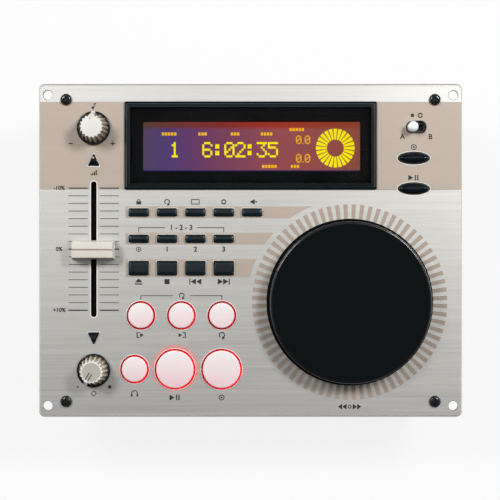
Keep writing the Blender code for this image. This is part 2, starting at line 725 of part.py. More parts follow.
def make_case_frame(base, finishes):
    """Make the four walls with their screw tabs and the socket's opening."""
    outer = rounded_rectangle(CASE_WIDTH, CASE_DEPTH, CASE_CORNER_RADIUS, ARC_STEPS)
    inner = rounded_rectangle(CASE_WIDTH - CASE_WALL * 2, CASE_DEPTH - CASE_WALL * 2,
                              CASE_CORNER_RADIUS - CASE_WALL, ARC_STEPS)
    walls = make_object("case_frame", frame_loft([
        (outer, CASE_TOP), (outer, CASE_BOTTOM), (inner, CASE_BOTTOM), (inner, CASE_TOP)]),
        finishes["case"], base)
    tab = rectangle(CASE_TAB_SIDE, CASE_TAB_SIDE)
    tabs = []
    for x, y in tab_places():
        tabs.append(prism(moved(tab, x, y), CASE_TOP - TAB_THICKNESS, CASE_TOP))
        tabs.append(prism(moved(tab, x, y), CASE_BOTTOM, CASE_BOTTOM + TAB_THICKNESS))
    combine(walls, merged(tabs), "UNION")
    cuts = []
    for x, y in corners(SCREW_X, SCREW_Y):
        hole = moved(circle(SCREW_SHANK_RADIUS + SEAT_GAP, SMALL_SIDES), x, y)
        cuts.append(prism(hole, CASE_BOTTOM - CUT_OVERRUN, CASE_BOTTOM + TAB_THICKNESS + CUT_OVERRUN))
        cuts.append(prism(hole, CASE_TOP - TAB_THICKNESS - CUT_OVERRUN, CASE_TOP + CUT_OVERRUN))
    cuts.append(wall_cutter(SOCKET_WIDTH + SEAT_GAP * 2, SOCKET_HEIGHT + SEAT_GAP * 2))
    combine(walls, merged(cuts), "DIFFERENCE")


def upright(bm):
    """Turn a mesh drawn in X and Y so that it is drawn in X and Z and points to +Y."""
    for point in bm.verts:
        point.co = (point.co.x, point.co.z, point.co.y)
    return bm


def wall_cutter(width, height):
    """Return the cutter of the socket's opening in the rear wall."""
    opening = moved(rectangle(width, height), 0, SOCKET_Z)
    rear = CASE_DEPTH / 2
    return upright(prism(opening, rear - CASE_WALL - CUT_OVERRUN, rear + CUT_OVERRUN))


def make_base_plate(base, finishes):
    """Make the bottom plate with the main board's standoffs."""
    outline = rounded_rectangle(CASE_WIDTH, CASE_DEPTH, CASE_CORNER_RADIUS, ARC_STEPS)
    plate = make_object("base_plate", prism(outline, BASE_BOTTOM, BASE_TOP), finishes["case"], base)
    standoffs = []
    for x, y in corners(MAIN_BOARD_WIDTH / 2 - STANDOFF_INSET, MAIN_BOARD_DEPTH / 2 - STANDOFF_INSET):
        outline = moved(circle(STANDOFF_RADIUS, SMALL_SIDES), x, y)
        standoffs.append(prism(outline, BASE_TOP - BASE_THICKNESS / 2, BASE_TOP + STANDOFF_HEIGHT))
    combine(plate, merged(standoffs), "UNION")
    cuts = []
    for x, y in corners(SCREW_X, SCREW_Y):
        hole = moved(circle(SCREW_SHANK_RADIUS + SEAT_GAP, SMALL_SIDES), x, y)
        cuts.append(prism(hole, BASE_BOTTOM - CUT_OVERRUN, BASE_TOP + CUT_OVERRUN))
    combine(plate, merged(cuts), "DIFFERENCE")


def make_feet(base, finishes):
    """Make the four rubber feet under the bottom plate."""
    profile = [(FOOT_RADIUS, FOOT_HEIGHT), (FOOT_RADIUS, FOOT_HEIGHT - FOOT_TAPER),
               (FOOT_RADIUS - FOOT_TAPER, 0), (FOOT_RECESS_RADIUS, 0),
               (FOOT_RECESS_RADIUS, FOOT_RECESS_DEPTH)]
    names = ("rear_right", "rear_left", "front_right", "front_left")
    places = corners(CASE_WIDTH / 2 - FOOT_INSET, CASE_DEPTH / 2 - FOOT_INSET)
    for name, place in zip(names, places):
        make_object("foot_" + name, turned(profile, HOLE_SIDES), finishes["rubber"], base, place)


# Display


def display_outline(inset):
    """Return the display's outline drawn in from the bezel's outer edge."""
    return rounded_rectangle(DISPLAY_WIDTH - inset * 2, DISPLAY_DEPTH - inset * 2,
                             BEZEL_CORNER_RADIUS)


def make_display(panel, finishes):
    """Make the display's bezel, window and module."""
    place = (DISPLAY_X, DISPLAY_Y)
    levels = [
        (0, SEAT_GAP + BEZEL_EDGE),
        (0, SEAT_GAP),
        (BEZEL_BODY_INSET, SEAT_GAP),
        (BEZEL_BODY_INSET, BEZEL_UNDERSIDE),
        (BEZEL_OPENING_INSET, BEZEL_UNDERSIDE),
        (BEZEL_OPENING_INSET, LEDGE_LEVEL),
        (BEZEL_POCKET_INSET, LEDGE_LEVEL),
        (BEZEL_POCKET_INSET, BEZEL_RISE),
        (BEZEL_BEVEL, BEZEL_RISE),
    ]
    bezel = frame_loft([(display_outline(inset), height) for inset, height in levels])
    make_object("display_bezel", bezel, finishes["black"], panel, place)
    window = prism(display_outline(WINDOW_INSET), LEDGE_LEVEL + SEAT_GAP, WINDOW_LEVEL)
    make_object("display_window", window, finishes["window"], panel, place)
    module_top = BEZEL_UNDERSIDE - SEAT_GAP
    outline = display_outline(BEZEL_OPENING_INSET - MODULE_OVERLAP)
    module = make_object("display_module", prism(outline, module_top - MODULE_THICKNESS, module_top),
                         finishes["lcd"], panel, place)
    glass = rectangle(DISPLAY_WIDTH - (BEZEL_OPENING_INSET + GLASS_SIDE_MARGIN) * 2,
                      DISPLAY_DEPTH - (BEZEL_OPENING_INSET + GLASS_END_MARGIN) * 2)
    combine(module, prism(glass, module_top - MODULE_THICKNESS / 2, LEDGE_LEVEL), "UNION")


# Boards under the faceplate


def make_board(name, outline, switches, posts, panel, finishes):
    """Make a circuit board with a switch cup under each button and posts to the faceplate."""
    board = make_object(name, prism(outline, BOARD_UNDERSIDE, BOARD_LEVEL), finishes["board"], panel)
    inside = BOARD_LEVEL - BOARD_THICKNESS / 2
    raised = [prism(moved(rectangle(SWITCH_SIDE, SWITCH_SIDE), x, y), inside, SWITCH_LEVEL)
              for x, y in switches]
    raised += [prism(moved(circle(POST_RADIUS, SMALL_SIDES), x, y), inside, HANG_LEVEL)
               for x, y in posts]
    combine(board, merged(raised), "UNION")
    cup = rectangle(STEM_WIDTH + SEAT_GAP * 2, STEM_WIDTH + SEAT_GAP * 2)
    cups = [prism(moved(cup, x, y), SWITCH_LEVEL - CUP_DEPTH, SWITCH_LEVEL + CUT_OVERRUN)
            for x, y in switches]
    combine(board, merged(cups), "DIFFERENCE")


def box_outline(left, right, front, rear):
    """Return a rectangle between four edges."""
    return moved(rectangle(right - left, rear - front), (left + right) / 2, (front + rear) / 2)


def places_in(kinds):
    """Return the places of the buttons of the given kinds."""
    return [(x, y) for name, kind, x, y in button_places() if kind in kinds]


def make_boards(panel, finishes):
    """Make the three boards that carry the switches."""
    last_key_x = KEYS_X + KEY_SPAN
    upper_post_y = (FIRST_ROW_Y + SECOND_ROW_Y) / 2
    lower_post_y = (LOOP_Y - ROUND_SMALL_RADIUS + ROUND_Y + ROUND_LARGE_RADIUS) / 2
    posts = [(x, y) for x in (KEYS_X, last_key_x) for y in (upper_post_y, lower_post_y)]
    outline = box_outline(KEYS_X - BOARD_EDGE, last_key_x + BOARD_EDGE,
                          ROUND_Y - BOARD_EDGE, FIRST_ROW_Y + SWITCH_SIDE)
    switches = places_in(("key", "tall_key", "round", "large_round"))
    make_board("button_board", outline, switches, posts, panel, finishes)
    side = BOARD_EDGE - POST_RADIUS * 2
    ends = (BEND_UP_Y, BEND_DOWN_Y)
    posts = [(FADER_X + across, y) for across in (side, -side) for y in ends]
    outline = box_outline(FADER_X - BOARD_EDGE, FADER_X + BOARD_EDGE,
                          BEND_DOWN_Y - SWITCH_SIDE, BEND_UP_Y + SWITCH_SIDE)
    make_board("pitch_board", outline, places_in(("bend_up", "bend_down")), posts, panel, finishes)
    middle_y = (HIGH_OVAL_Y + LOW_OVAL_Y) / 2
    select_y = (HIGH_OVAL_Y + SELECT_Y) / 2
    posts = [(RIGHT_X + across, y) for across in (side, -side) for y in (middle_y, select_y)]
    outline = box_outline(RIGHT_X - BOARD_EDGE, RIGHT_X + BOARD_EDGE,
                          LOW_OVAL_Y - SWITCH_SIDE, SELECT_Y + SWITCH_SIDE)
    make_board("select_board", outline, places_in(("oval",)), posts, panel, finishes)


# Pitch fader


def make_pitch_fader(panel, finishes):
    """Make the fader's body, its lever and its cap."""
    place = (FADER_X, FADER_Y)
    floor = BOARD_LEVEL + SEAT_GAP
    top = floor + FADER_BODY_HEIGHT
    channel_length = FADER_TRAVEL + SLIDER_LENGTH + SLIDER_END_CLEARANCE * 2
    channel_width = SLIDER_WIDTH + SEAT_GAP * 2
    wall = FADER_BODY_WALL * 2
    body = make_object("pitch_fader_body", prism(
        rectangle(channel_width + wall, channel_length + wall), floor, top),
        finishes["steel"], panel, place)
    channel = prism(rectangle(channel_width, channel_length), floor + FADER_BODY_FLOOR,
                    top + CUT_OVERRUN)
    combine(body, channel, "DIFFERENCE")
    slider_bottom = floor + FADER_BODY_FLOOR + SEAT_GAP
    slider_top = slider_bottom + SLIDER_HEIGHT
    lever_top = CAP_LIFT + CAP_SOCKET_DEPTH - SEAT_GAP
    lever = make_object("pitch_fader_lever", prism(
        rectangle(SLIDER_WIDTH, SLIDER_LENGTH), slider_bottom, slider_top),
        finishes["steel"], panel, place)
    blade = prism(rectangle(BLADE_WIDTH, BLADE_LENGTH), slider_bottom + SLIDER_HEIGHT / 2, lever_top)
    combine(lever, blade, "UNION")
    top_z = CAP_LIFT + CAP_HEIGHT
    base_outline = rounded_rectangle(CAP_WIDTH, CAP_LENGTH, CAP_CORNER_RADIUS, ARC_STEPS)
    top_outline = rounded_rectangle(CAP_TOP_WIDTH, CAP_TOP_LENGTH, CAP_CORNER_RADIUS, ARC_STEPS)
    cap = make_object("pitch_fader_cap", loft([
        (top_outline, top_z), (base_outline, CAP_LIFT + CAP_SKIRT), (base_outline, CAP_LIFT)]),
        finishes["cream"], panel, place)
    socket = prism(rectangle(BLADE_WIDTH + SEAT_GAP * 2, BLADE_LENGTH + SEAT_GAP * 2),
                   CAP_LIFT - CUT_OVERRUN, CAP_LIFT + CAP_SOCKET_DEPTH)
    combine(cap, socket, "DIFFERENCE")
    groove = prism(rectangle(CAP_WIDTH + CUT_OVERRUN, CAP_GROOVE_WIDTH),
                   top_z - CAP_GROOVE_DEPTH, top_z + CUT_OVERRUN)
    combine(cap, groove, "DIFFERENCE")


# Rotary knobs


def fluted_circle(radius, depth):
    """Return a knob's outline, whose flutes are this deep."""
    count = KNOB_FLUTES * KNOB_SIDES_PER_FLUTE
    points = []
    for index in range(count):
        angle = math.tau * index / count
        reach = radius - (depth if index % KNOB_SIDES_PER_FLUTE == 0 else 0)
        points.append((reach * math.cos(angle), reach * math.sin(angle)))
    return points


def knob_mesh():
    """Return the knob's body: a flat top, a fluted cone, a round skirt and the bore below."""
    bottom = KNOB_LIFT
    top = KNOB_LIFT + KNOB_HEIGHT
    skirt_top = bottom + KNOB_SKIRT_HEIGHT
    bore = POT_SHAFT_RADIUS + SEAT_GAP
    levels = [
        (fluted_circle(KNOB_TOP_RADIUS - KNOB_BEVEL, 0), top),
        (fluted_circle(KNOB_TOP_RADIUS, KNOB_FLUTE_DEPTH), top - KNOB_BEVEL),
        (fluted_circle(KNOB_FOOT_RADIUS, KNOB_FLUTE_DEPTH), skirt_top),
        (fluted_circle(KNOB_SKIRT_RADIUS, 0), skirt_top),
        (fluted_circle(KNOB_SKIRT_RADIUS, 0), bottom),
        (fluted_circle(KNOB_NUT_ROOM_RADIUS, 0), bottom),
        (fluted_circle(KNOB_NUT_ROOM_RADIUS, 0), bottom + KNOB_NUT_ROOM_DEPTH),
        (fluted_circle(bore, 0), bottom + KNOB_NUT_ROOM_DEPTH),
        (fluted_circle(bore, 0), bottom + KNOB_BORE_DEPTH),
    ]
    return loft(levels)


def pointer_mesh(angle):
    """Return the raised pointer that runs from the knob's middle across its skirt."""
    top = KNOB_LIFT + KNOB_HEIGHT
    skirt_top = KNOB_LIFT + KNOB_SKIRT_HEIGHT
    raised = KNOB_POINTER_RISE
    outline = [(0, top + raised), (KNOB_TOP_RADIUS, top + raised),
               (KNOB_FOOT_RADIUS + raised, skirt_top + raised),
               (KNOB_SKIRT_RADIUS - KNOB_BEVEL, skirt_top + raised),
               (KNOB_SKIRT_RADIUS - KNOB_BEVEL, skirt_top - raised),
               (KNOB_FOOT_RADIUS - raised * 2, skirt_top - raised),
               (KNOB_TOP_RADIUS - raised * 2, top - KNOB_BEVEL * 2),
               (0, top - KNOB_BEVEL * 2)]
    bm = upright(prism(outline, -KNOB_POINTER_WIDTH / 2, KNOB_POINTER_WIDTH / 2))
    bmesh.ops.rotate(bm, verts=bm.verts, matrix=Matrix.Rotation(math.radians(angle), 3, "Z"))
    return bm


def make_knob(name, y, angle, panel, finishes):
    """Make a knob, the shaft inside it and the potentiometer that it turns."""
    place = (FADER_X, y)
    knob = make_object(name + "_knob", knob_mesh(), finishes["cream"], panel, place)
    combine(knob, pointer_mesh(angle), "UNION")
    well = POT_SHAFT_RADIUS + SEAT_GAP
    body = HANG_LEVEL - POT_HEIGHT
    profile = [(POT_BUSHING_RADIUS, POT_BUSHING_RISE), (POT_BUSHING_RADIUS, HANG_LEVEL),
               (POT_RADIUS, HANG_LEVEL), (POT_RADIUS, body), (well, body), (well, POT_BUSHING_RISE)]
    make_object(name + "_pot_body", turned_ring(profile, HOLE_SIDES), finishes["steel"], panel, place)
    shaft = [(POT_SHAFT_RADIUS, KNOB_LIFT + KNOB_BORE_DEPTH - SEAT_GAP),
             (POT_SHAFT_RADIUS, HANG_LEVEL - POT_WELL_DEPTH)]
    make_object(name + "_knob_shaft", turned(shaft, SMALL_SIDES), finishes["steel"], panel, place)


# Player select switch


def make_select_switch(panel, finishes):
    """Make the slide switch's body and its knob, at rest at the left end of the slot."""
    place = (SELECT_X, SELECT_Y)
    floor = BOARD_LEVEL + SEAT_GAP
    stem_bottom = HANG_LEVEL - SELECT_STEM_DEPTH
    channel_length = SELECT_TRAVEL + SELECT_STEM_WIDTH + SEAT_GAP * 2
    channel_width = SELECT_STEM_WIDTH + SEAT_GAP * 2
    wall = SELECT_BODY_WALL * 2
    body = make_object("select_switch_body", prism(
        rectangle(channel_length + wall, channel_width + wall), floor, HANG_LEVEL),
        finishes["steel"], panel, place)
    channel = prism(rectangle(channel_length, channel_width), stem_bottom - SEAT_GAP,
                    HANG_LEVEL + CUT_OVERRUN)
    combine(body, channel, "DIFFERENCE")
    rest_x = SELECT_X - SELECT_TRAVEL / 2
    stem = SELECT_STEM_WIDTH / 2
    profile = [(SELECT_KNOB_RADIUS - SELECT_KNOB_EDGE, SELECT_KNOB_RISE),
               (SELECT_KNOB_RADIUS, SELECT_KNOB_RISE - SELECT_KNOB_EDGE),
               (SELECT_KNOB_RADIUS, PLATE_UNDERSIDE), (stem, PLATE_UNDERSIDE), (stem, stem_bottom)]
    make_object("select_knob", turned(profile, HOLE_SIDES), finishes["chrome"], panel,
                (rest_x, SELECT_Y))


# Search wheel


def make_search_wheel(panel, finishes):
    """Make the wheel, its shaft, the bearing, the encoder disc and its sensor."""
    place = (WHEEL_X, WHEEL_Y)
    bottom = WHEEL_LIFT
    top = WHEEL_LIFT + WHEEL_HEIGHT
    roof = bottom + WHEEL_RECESS_DEPTH
    bore = WHEEL_SHAFT_RADIUS + SEAT_GAP
    profile = arc_profile(WHEEL_RADIUS - WHEEL_TOP_INSET, top, WHEEL_FILLET)
    profile += [(WHEEL_RADIUS, bottom), (WHEEL_RADIUS - WHEEL_RIM_WIDTH, bottom),
                (WHEEL_RADIUS - WHEEL_RIM_WIDTH, roof), (WHEEL_HUB_RADIUS, roof),
                (WHEEL_HUB_RADIUS, bottom), (bore, bottom), (bore, bottom + WHEEL_BORE_DEPTH)]
    make_object("search_wheel", turned(profile, WHEEL_SIDES), finishes["wheel"], panel, place)
    tube = bore + BEARING_WALL
    tube_bottom = HANG_LEVEL - BEARING_LENGTH
    flange_bottom = HANG_LEVEL - BEARING_FLANGE_THICKNESS
    bearing = [(tube, bottom - SEAT_GAP), (tube, HANG_LEVEL), (BEARING_FLANGE_RADIUS, HANG_LEVEL),
               (BEARING_FLANGE_RADIUS, flange_bottom), (tube, flange_bottom), (tube, tube_bottom),
               (bore, tube_bottom), (bore, bottom - SEAT_GAP)]
    make_object("wheel_bearing", turned_ring(bearing, HOLE_SIDES), finishes["bearing"], panel, place)
    disc_top = tube_bottom - SEAT_GAP
    disc_bottom = disc_top - ENCODER_THICKNESS
    collar_top = disc_bottom - SEAT_GAP
    collar = WHEEL_SHAFT_RADIUS + SHAFT_COLLAR_REACH
    shaft = [(WHEEL_SHAFT_RADIUS, bottom + WHEEL_BORE_DEPTH - SEAT_GAP),
             (WHEEL_SHAFT_RADIUS, collar_top), (collar, collar_top),
             (collar, collar_top - SHAFT_COLLAR_HEIGHT)]
    make_object("wheel_shaft", turned(shaft, SMALL_SIDES), finishes["steel"], panel, place)
    make_encoder(place, disc_top, disc_bottom, panel, finishes)


def toothed_outline():
    """Return the encoder disc's outline, with square gaps round its rim."""
    points = []
    for tooth in range(ENCODER_TEETH):
        for quarter, inset in enumerate((0, 0, ENCODER_TOOTH_DEPTH, ENCODER_TOOTH_DEPTH)):
            edge = (quarter + 1) // 2 / 2
            angle = math.tau * (tooth + edge) / ENCODER_TEETH
            reach = ENCODER_RADIUS - inset
            points.append((reach * math.cos(angle), reach * math.sin(angle)))
    return points


def make_encoder(place, disc_top, disc_bottom, panel, finishes):
    """Make the toothed disc on the wheel's shaft and the fork that reads it."""
    disc = make_object("encoder_disc", prism(toothed_outline(), disc_bottom, disc_top),
                       finishes["key"], panel, place)
    bore = prism(circle(WHEEL_SHAFT_RADIUS + SEAT_GAP, SMALL_SIDES),
                 disc_bottom - CUT_OVERRUN, disc_top + CUT_OVERRUN)
    combine(disc, bore, "DIFFERENCE")
    stem = ENCODER_RADIUS + SENSOR_CLEARANCE
    reach = ENCODER_RADIUS - ENCODER_TOOTH_DEPTH * 2
    upper = disc_top + SENSOR_CLEARANCE
    lower = disc_bottom - SENSOR_CLEARANCE
    outline = [(stem, HANG_LEVEL), (stem, upper + SENSOR_ARM), (reach, upper + SENSOR_ARM),
               (reach, upper), (stem, upper), (stem, lower), (reach, lower),
               (reach, lower - SENSOR_ARM), (stem + SENSOR_BACK, lower - SENSOR_ARM),
               (stem + SENSOR_BACK, HANG_LEVEL)]
    fork = upright(prism(outline, -SENSOR_WIDTH / 2, SENSOR_WIDTH / 2))
    make_object("encoder_sensor", fork, finishes["key"], panel, place)


# Main board


def make_main_board(base, finishes):
    """Make the main board with its chips, capacitors and the ribbon cable's header."""
    board = make_object("main_board", prism(rectangle(MAIN_BOARD_WIDTH, MAIN_BOARD_DEPTH),
                                            MAIN_BOARD_BOTTOM, MAIN_BOARD_TOP),
                        finishes["board"], base)
    inside = MAIN_BOARD_TOP - BOARD_THICKNESS / 2
    header = moved(rectangle(HEADER_LENGTH, HEADER_WIDTH), RIBBON_X, RIBBON_Y)
    raised = [prism(header, inside, MAIN_BOARD_TOP + HEADER_HEIGHT)]
    for x_share, y_share in CHIP_SHARES:
        chip = moved(rectangle(CHIP_SIDE, CHIP_SIDE), MAIN_BOARD_WIDTH * x_share,
                     MAIN_BOARD_DEPTH * y_share)
        raised.append(prism(chip, inside, MAIN_BOARD_TOP + CHIP_HEIGHT))
    for x_share, y_share in CAPACITOR_SHARES:
        can = moved(circle(CAPACITOR_RADIUS, SMALL_SIDES), MAIN_BOARD_WIDTH * x_share,
                    MAIN_BOARD_DEPTH * y_share)
        raised.append(prism(can, inside, MAIN_BOARD_TOP + CAPACITOR_HEIGHT))
    combine(board, merged(raised), "UNION")


def make_control_socket(base, finishes):
    """Make the socket for the drive's control cable, in the rear wall."""
    rear = CASE_DEPTH / 2
    mouth = rear + SEAT_GAP + SOCKET_FLANGE_THICKNESS
    body = upright(prism(moved(rectangle(SOCKET_WIDTH, SOCKET_HEIGHT), 0, SOCKET_Z),
                         mouth - SOCKET_LENGTH, mouth))
    socket = make_object("control_socket", body, finishes["steel"], base)
    reach = SOCKET_FLANGE_REACH
    flange = moved(rectangle(SOCKET_WIDTH + reach * 2, SOCKET_HEIGHT + reach * 2), 0, SOCKET_Z)
    combine(socket, upright(prism(flange, rear + SEAT_GAP, mouth)), "UNION")
    opening = moved(rectangle(SOCKET_WIDTH - SOCKET_WALL * 2, SOCKET_HEIGHT - SOCKET_WALL * 2),
                    0, SOCKET_Z)
    combine(socket, upright(prism(opening, mouth - SOCKET_MOUTH_DEPTH, mouth + CUT_OVERRUN)),
            "DIFFERENCE")


def make_ribbon_cable(base, finishes):
    """Make the ribbon cable between the main board and the button board."""
    low = MAIN_BOARD_TOP + HEADER_HEIGHT + SEAT_GAP
    high = PLATE_TOP + BOARD_UNDERSIDE - SEAT_GAP
    front = []
    back = []
    for step in range(RIBBON_STEPS + 1):
        share = step / RIBBON_STEPS
        bulge = RIBBON_SLACK * math.sin(math.pi * share) ** 2
        height = low + (high - low) * share
        front.append((bulge - RIBBON_THICKNESS / 2, height))
        back.append((bulge + RIBBON_THICKNESS / 2, height))
    strip = upright(prism(front + back[::-1], -RIBBON_WIDTH / 2, RIBBON_WIDTH / 2))
    bmesh.ops.rotate(strip, verts=strip.verts, matrix=Matrix.Rotation(math.pi / 2, 3, "Z"))
    make_object("ribbon_cable", strip, finishes["cable"], base, (RIBBON_X, RIBBON_Y))


def main():
    """Build the whole unit."""
    clear_scene()
    finishes = make_materials()
    base = make_empty("case_base", 0)
    panel = make_empty("panel_face", PLATE_TOP)
    button_holes = make_buttons(panel, finishes)
    make_faceplate(panel, finishes, button_holes)
    make_faceplate_screws(panel, finishes)
    make_case_frame(base, finishes)
    make_base_plate(base, finishes)
    make_feet(base, finishes)
    make_display(panel, finishes)
    make_boards(panel, finishes)
    make_pitch_fader(panel, finishes)
    make_knob("key", KEY_KNOB_Y, KEY_REST_ANGLE, panel, finishes)
    make_knob("focus", FOCUS_KNOB_Y, FOCUS_REST_ANGLE, panel, finishes)
    make_select_switch(panel, finishes)
    make_search_wheel(panel, finishes)
    make_main_board(base, finishes)
    make_control_socket(base, finishes)
    make_ribbon_cable(base, finishes)


main()
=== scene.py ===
"""Dress a disc player's control unit: its fine shapes, printed marks, lamps and finishes.

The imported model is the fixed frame. Metres, +Z up, X to the right of the panel and Y to its
rear edge; the unit stands on the plane z = 0.
"""

import json
import logging
import math
from collections.abc import Callable, Iterable, Mapping, Sequence
from dataclasses import dataclass, field, replace
from enum import Enum
from typing import Any

import bmesh
import bpy
from mathutils import Matrix, Vector

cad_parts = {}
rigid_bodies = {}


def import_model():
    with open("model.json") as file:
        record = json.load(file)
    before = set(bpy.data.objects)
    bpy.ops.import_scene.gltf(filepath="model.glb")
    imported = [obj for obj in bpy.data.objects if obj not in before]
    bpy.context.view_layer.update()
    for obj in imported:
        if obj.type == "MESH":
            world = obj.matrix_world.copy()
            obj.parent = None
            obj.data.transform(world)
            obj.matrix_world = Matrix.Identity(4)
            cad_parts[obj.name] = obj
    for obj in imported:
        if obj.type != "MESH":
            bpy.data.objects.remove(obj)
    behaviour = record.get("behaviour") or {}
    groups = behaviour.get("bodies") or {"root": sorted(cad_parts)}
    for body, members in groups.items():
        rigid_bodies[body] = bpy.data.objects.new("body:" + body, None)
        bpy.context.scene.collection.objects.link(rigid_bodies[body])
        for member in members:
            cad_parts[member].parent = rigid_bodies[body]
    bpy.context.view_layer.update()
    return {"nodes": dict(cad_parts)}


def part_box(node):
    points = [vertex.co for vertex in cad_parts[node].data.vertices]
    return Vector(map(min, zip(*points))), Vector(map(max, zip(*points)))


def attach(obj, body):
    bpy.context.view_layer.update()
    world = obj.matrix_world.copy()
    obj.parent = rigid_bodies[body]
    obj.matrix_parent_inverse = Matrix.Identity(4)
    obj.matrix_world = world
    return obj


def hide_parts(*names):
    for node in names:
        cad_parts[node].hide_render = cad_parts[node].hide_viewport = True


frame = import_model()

LOG = logging.getLogger("control_unit")

MM = 0.001
SHARP_ANGLE = math.radians(32.0)
SHARP_RADIUS = 0.02 * MM  # corners too small to round
POLE_RADIUS = 0.02 * MM
SEAT_GAP = 0.02 * MM
CORNERS = ("rear_right", "rear_left", "front_right", "front_left")
PLATE_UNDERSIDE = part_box("faceplate")[0].z
PLATE_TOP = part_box("faceplate")[1].z

Colour = tuple[float, float, float]
Point = tuple[float, float]
Points = list[Point]
Outline = Callable[[float], Points]


# Node graphs


def operator(operation: str, reflected: bool = False) -> Callable[["Value", "Number"], "Value"]:
    """Return a method that joins a value and another by one Math node.

    Args:
        operation: what the node does.
        reflected: whether the other stands first, as in 1 - mask.
    """
    def method(self: "Value", other: "Number") -> "Value":
        """Return the two joined."""
        return self.graph.maths(operation, *((other, self) if reflected else (self, other)))
    return method


class Value:
    """A node's output, on which Python's arithmetic adds Math nodes."""

    def __init__(self, graph: "NodeGraph", socket: bpy.types.NodeSocket) -> None:
        """Keep the socket and the graph that it belongs to."""
        self.graph = graph
        self.socket = socket

    __add__ = __radd__ = operator("ADD")
    __sub__, __rsub__ = operator("SUBTRACT"), operator("SUBTRACT", reflected=True)
    __mul__ = __rmul__ = operator("MULTIPLY")
    __truediv__, __rtruediv__ = operator("DIVIDE"), operator("DIVIDE", reflected=True)

    def __abs__(self) -> "Value":
        """Return the size of this without its sign."""
        return self.graph.maths("ABSOLUTE", self)

    def smooth(self, low: float, high: float) -> "Value":
        """Return 0 below low, 1 above high and a smooth rise between them."""
        settings = {"interpolation_type": "SMOOTHSTEP"}
        return self.graph.node("ShaderNodeMapRange", settings, {0: self, 1: low, 2: high})


Number = Value | float


class NodeGraph:
    """A node tree with one method that adds any node."""

    def __init__(self, tree: bpy.types.NodeTree) -> None:
        """Keep the tree and start it empty."""
        self.tree = tree
        tree.nodes.clear()

    def node(self, kind: str, settings: Mapping[str, Any] | None = None,
             inputs: Mapping[int | str, Any] | None = None, output: int | str = 0) -> Value:
        """Add a node.

        Args:
            kind: the node's type name.
            settings: its own settings, which are set first; "stops" are a ramp's stops.
            inputs: a value or a link for each named or numbered socket.
            output: the socket that is returned.

        Returns:
            The chosen output.
        """
        made = self.tree.nodes.new(kind)
        for name, setting in (settings or {}).items():
            if name == "stops":
                self._set_stops(made.color_ramp, setting)
            else:
                setattr(made, name, setting)
        for key, value in (inputs or {}).items():
            if isinstance(value, Value):
                self.tree.links.new(value.socket, made.inputs[key])
            else:
                made.inputs[key].default_value = value
        if not made.outputs:
            return Value(self, made.inputs[0])
        return Value(self, made.outputs[output])

    def _set_stops(self, ramp: bpy.types.ColorRamp, stops: Sequence[tuple[float, Colour]]) -> None:
        """Give a ramp its stops, each a place and a colour."""
        while len(ramp.elements) < len(stops):
            ramp.elements.new(1.0)
        for element, (place, colour) in zip(ramp.elements, stops):
            element.position = place
            element.color = (*colour, 1.0)

    def maths(self, operation: str, *values: Number) -> Value:
        """Return the values joined by one Math node."""
        return self.node("ShaderNodeMath", {"operation": operation}, dict(enumerate(values)))

    def vector(self, x: Number, y: Number, z: Number) -> Value:
        """Return a vector of three values."""
        return self.node("ShaderNodeCombineXYZ", inputs={0: x, 1: y, 2: z})

    def parts(self, vector: Value) -> tuple[Value, Value, Value]:
        """Return the three values of a vector."""
        first = self.node("ShaderNodeSeparateXYZ", inputs={0: vector})
        outputs = first.socket.node.outputs
        return tuple(Value(self, socket) for socket in outputs)


class MaterialGraph(NodeGraph):
    """The shader tree of one material."""

    def __init__(self, name: str) -> None:
        """Make the material with an empty tree."""
        self.material = bpy.data.materials.new(name)
        self.material.use_nodes = True
        super().__init__(self.material.node_tree)

    def place(self) -> Value:
        """Return the place on the object, in metres."""
        return self.node("ShaderNodeTexCoord", output="Object")

    def noise(self, scale: float, detail: float = 2.0, stretch: Colour = (1.0, 1.0, 1.0),
              roughness: float = 0.5) -> Value:
        """Return a noise of about 0 to 1 over the object's place.

        Args:
            scale: how many features fit in a metre.
            detail: how many finer layers the noise has.
            stretch: how much denser it is along each axis.
            roughness: how strong the finer layers are.
        """
        where = self.node("ShaderNodeMapping", inputs={"Vector": self.place(), "Scale": stretch})
        return self.node("ShaderNodeTexNoise", inputs={
            "Vector": where, "Scale": scale, "Detail": detail, "Roughness": roughness})

    def mix(self, factor: Number, first: "Value | Colour", second: "Value | Colour") -> Value:
        """Return a colour between the first, at 0, and the second, at 1."""
        colours = [value if isinstance(value, Value) else (*value, 1.0)
                   for value in (first, second)]
        return self.node("ShaderNodeMix", {"data_type": "RGBA"},
                         {0: factor, 6: colours[0], 7: colours[1]}, 2)

    def shade(self, colour: "Value | Colour", amount: Number) -> Value:
        """Return the colour times a grey amount."""
        grey = amount if isinstance(amount, Value) else (amount, amount, amount)
        return self.node("ShaderNodeVectorMath", {"operation": "MULTIPLY"}, {0: colour, 1: grey})

    def bump(self, height: Value, distance: float, strength: float = 1.0) -> Value:
        """Return the normal over a height of 0 to 1 that spans the distance in metres."""
        return self.node("ShaderNodeBump", inputs={
            "Strength": strength, "Distance": distance, "Height": height})

    def finish(self, **sockets: Any) -> bpy.types.Material:
        """End the tree in a Principled shader, whose sockets are named with underscores."""
        inputs: dict[int | str, Any] = {}
        for name, value in sockets.items():
            label = name.replace("_", " ")
            is_colour = isinstance(value, tuple) and len(value) == 3
            inputs[label] = (*value, 1.0) if is_colour and "Color" in label else value
        shader = self.node("ShaderNodeBsdfPrincipled", inputs=inputs)
        self.node("ShaderNodeOutputMaterial", inputs={"Surface": shader})
        return self.material


# Finishes


@dataclass(frozen=True)
class Finish:
    """A finish: its name and how its material is made."""

    name: str

    def graph(self) -> MaterialGraph:
        """Return the empty graph of this finish's material."""
        return MaterialGraph(self.name)

    def build(self) -> bpy.types.Material:
        """Return the finish's material."""
        raise NotImplementedError


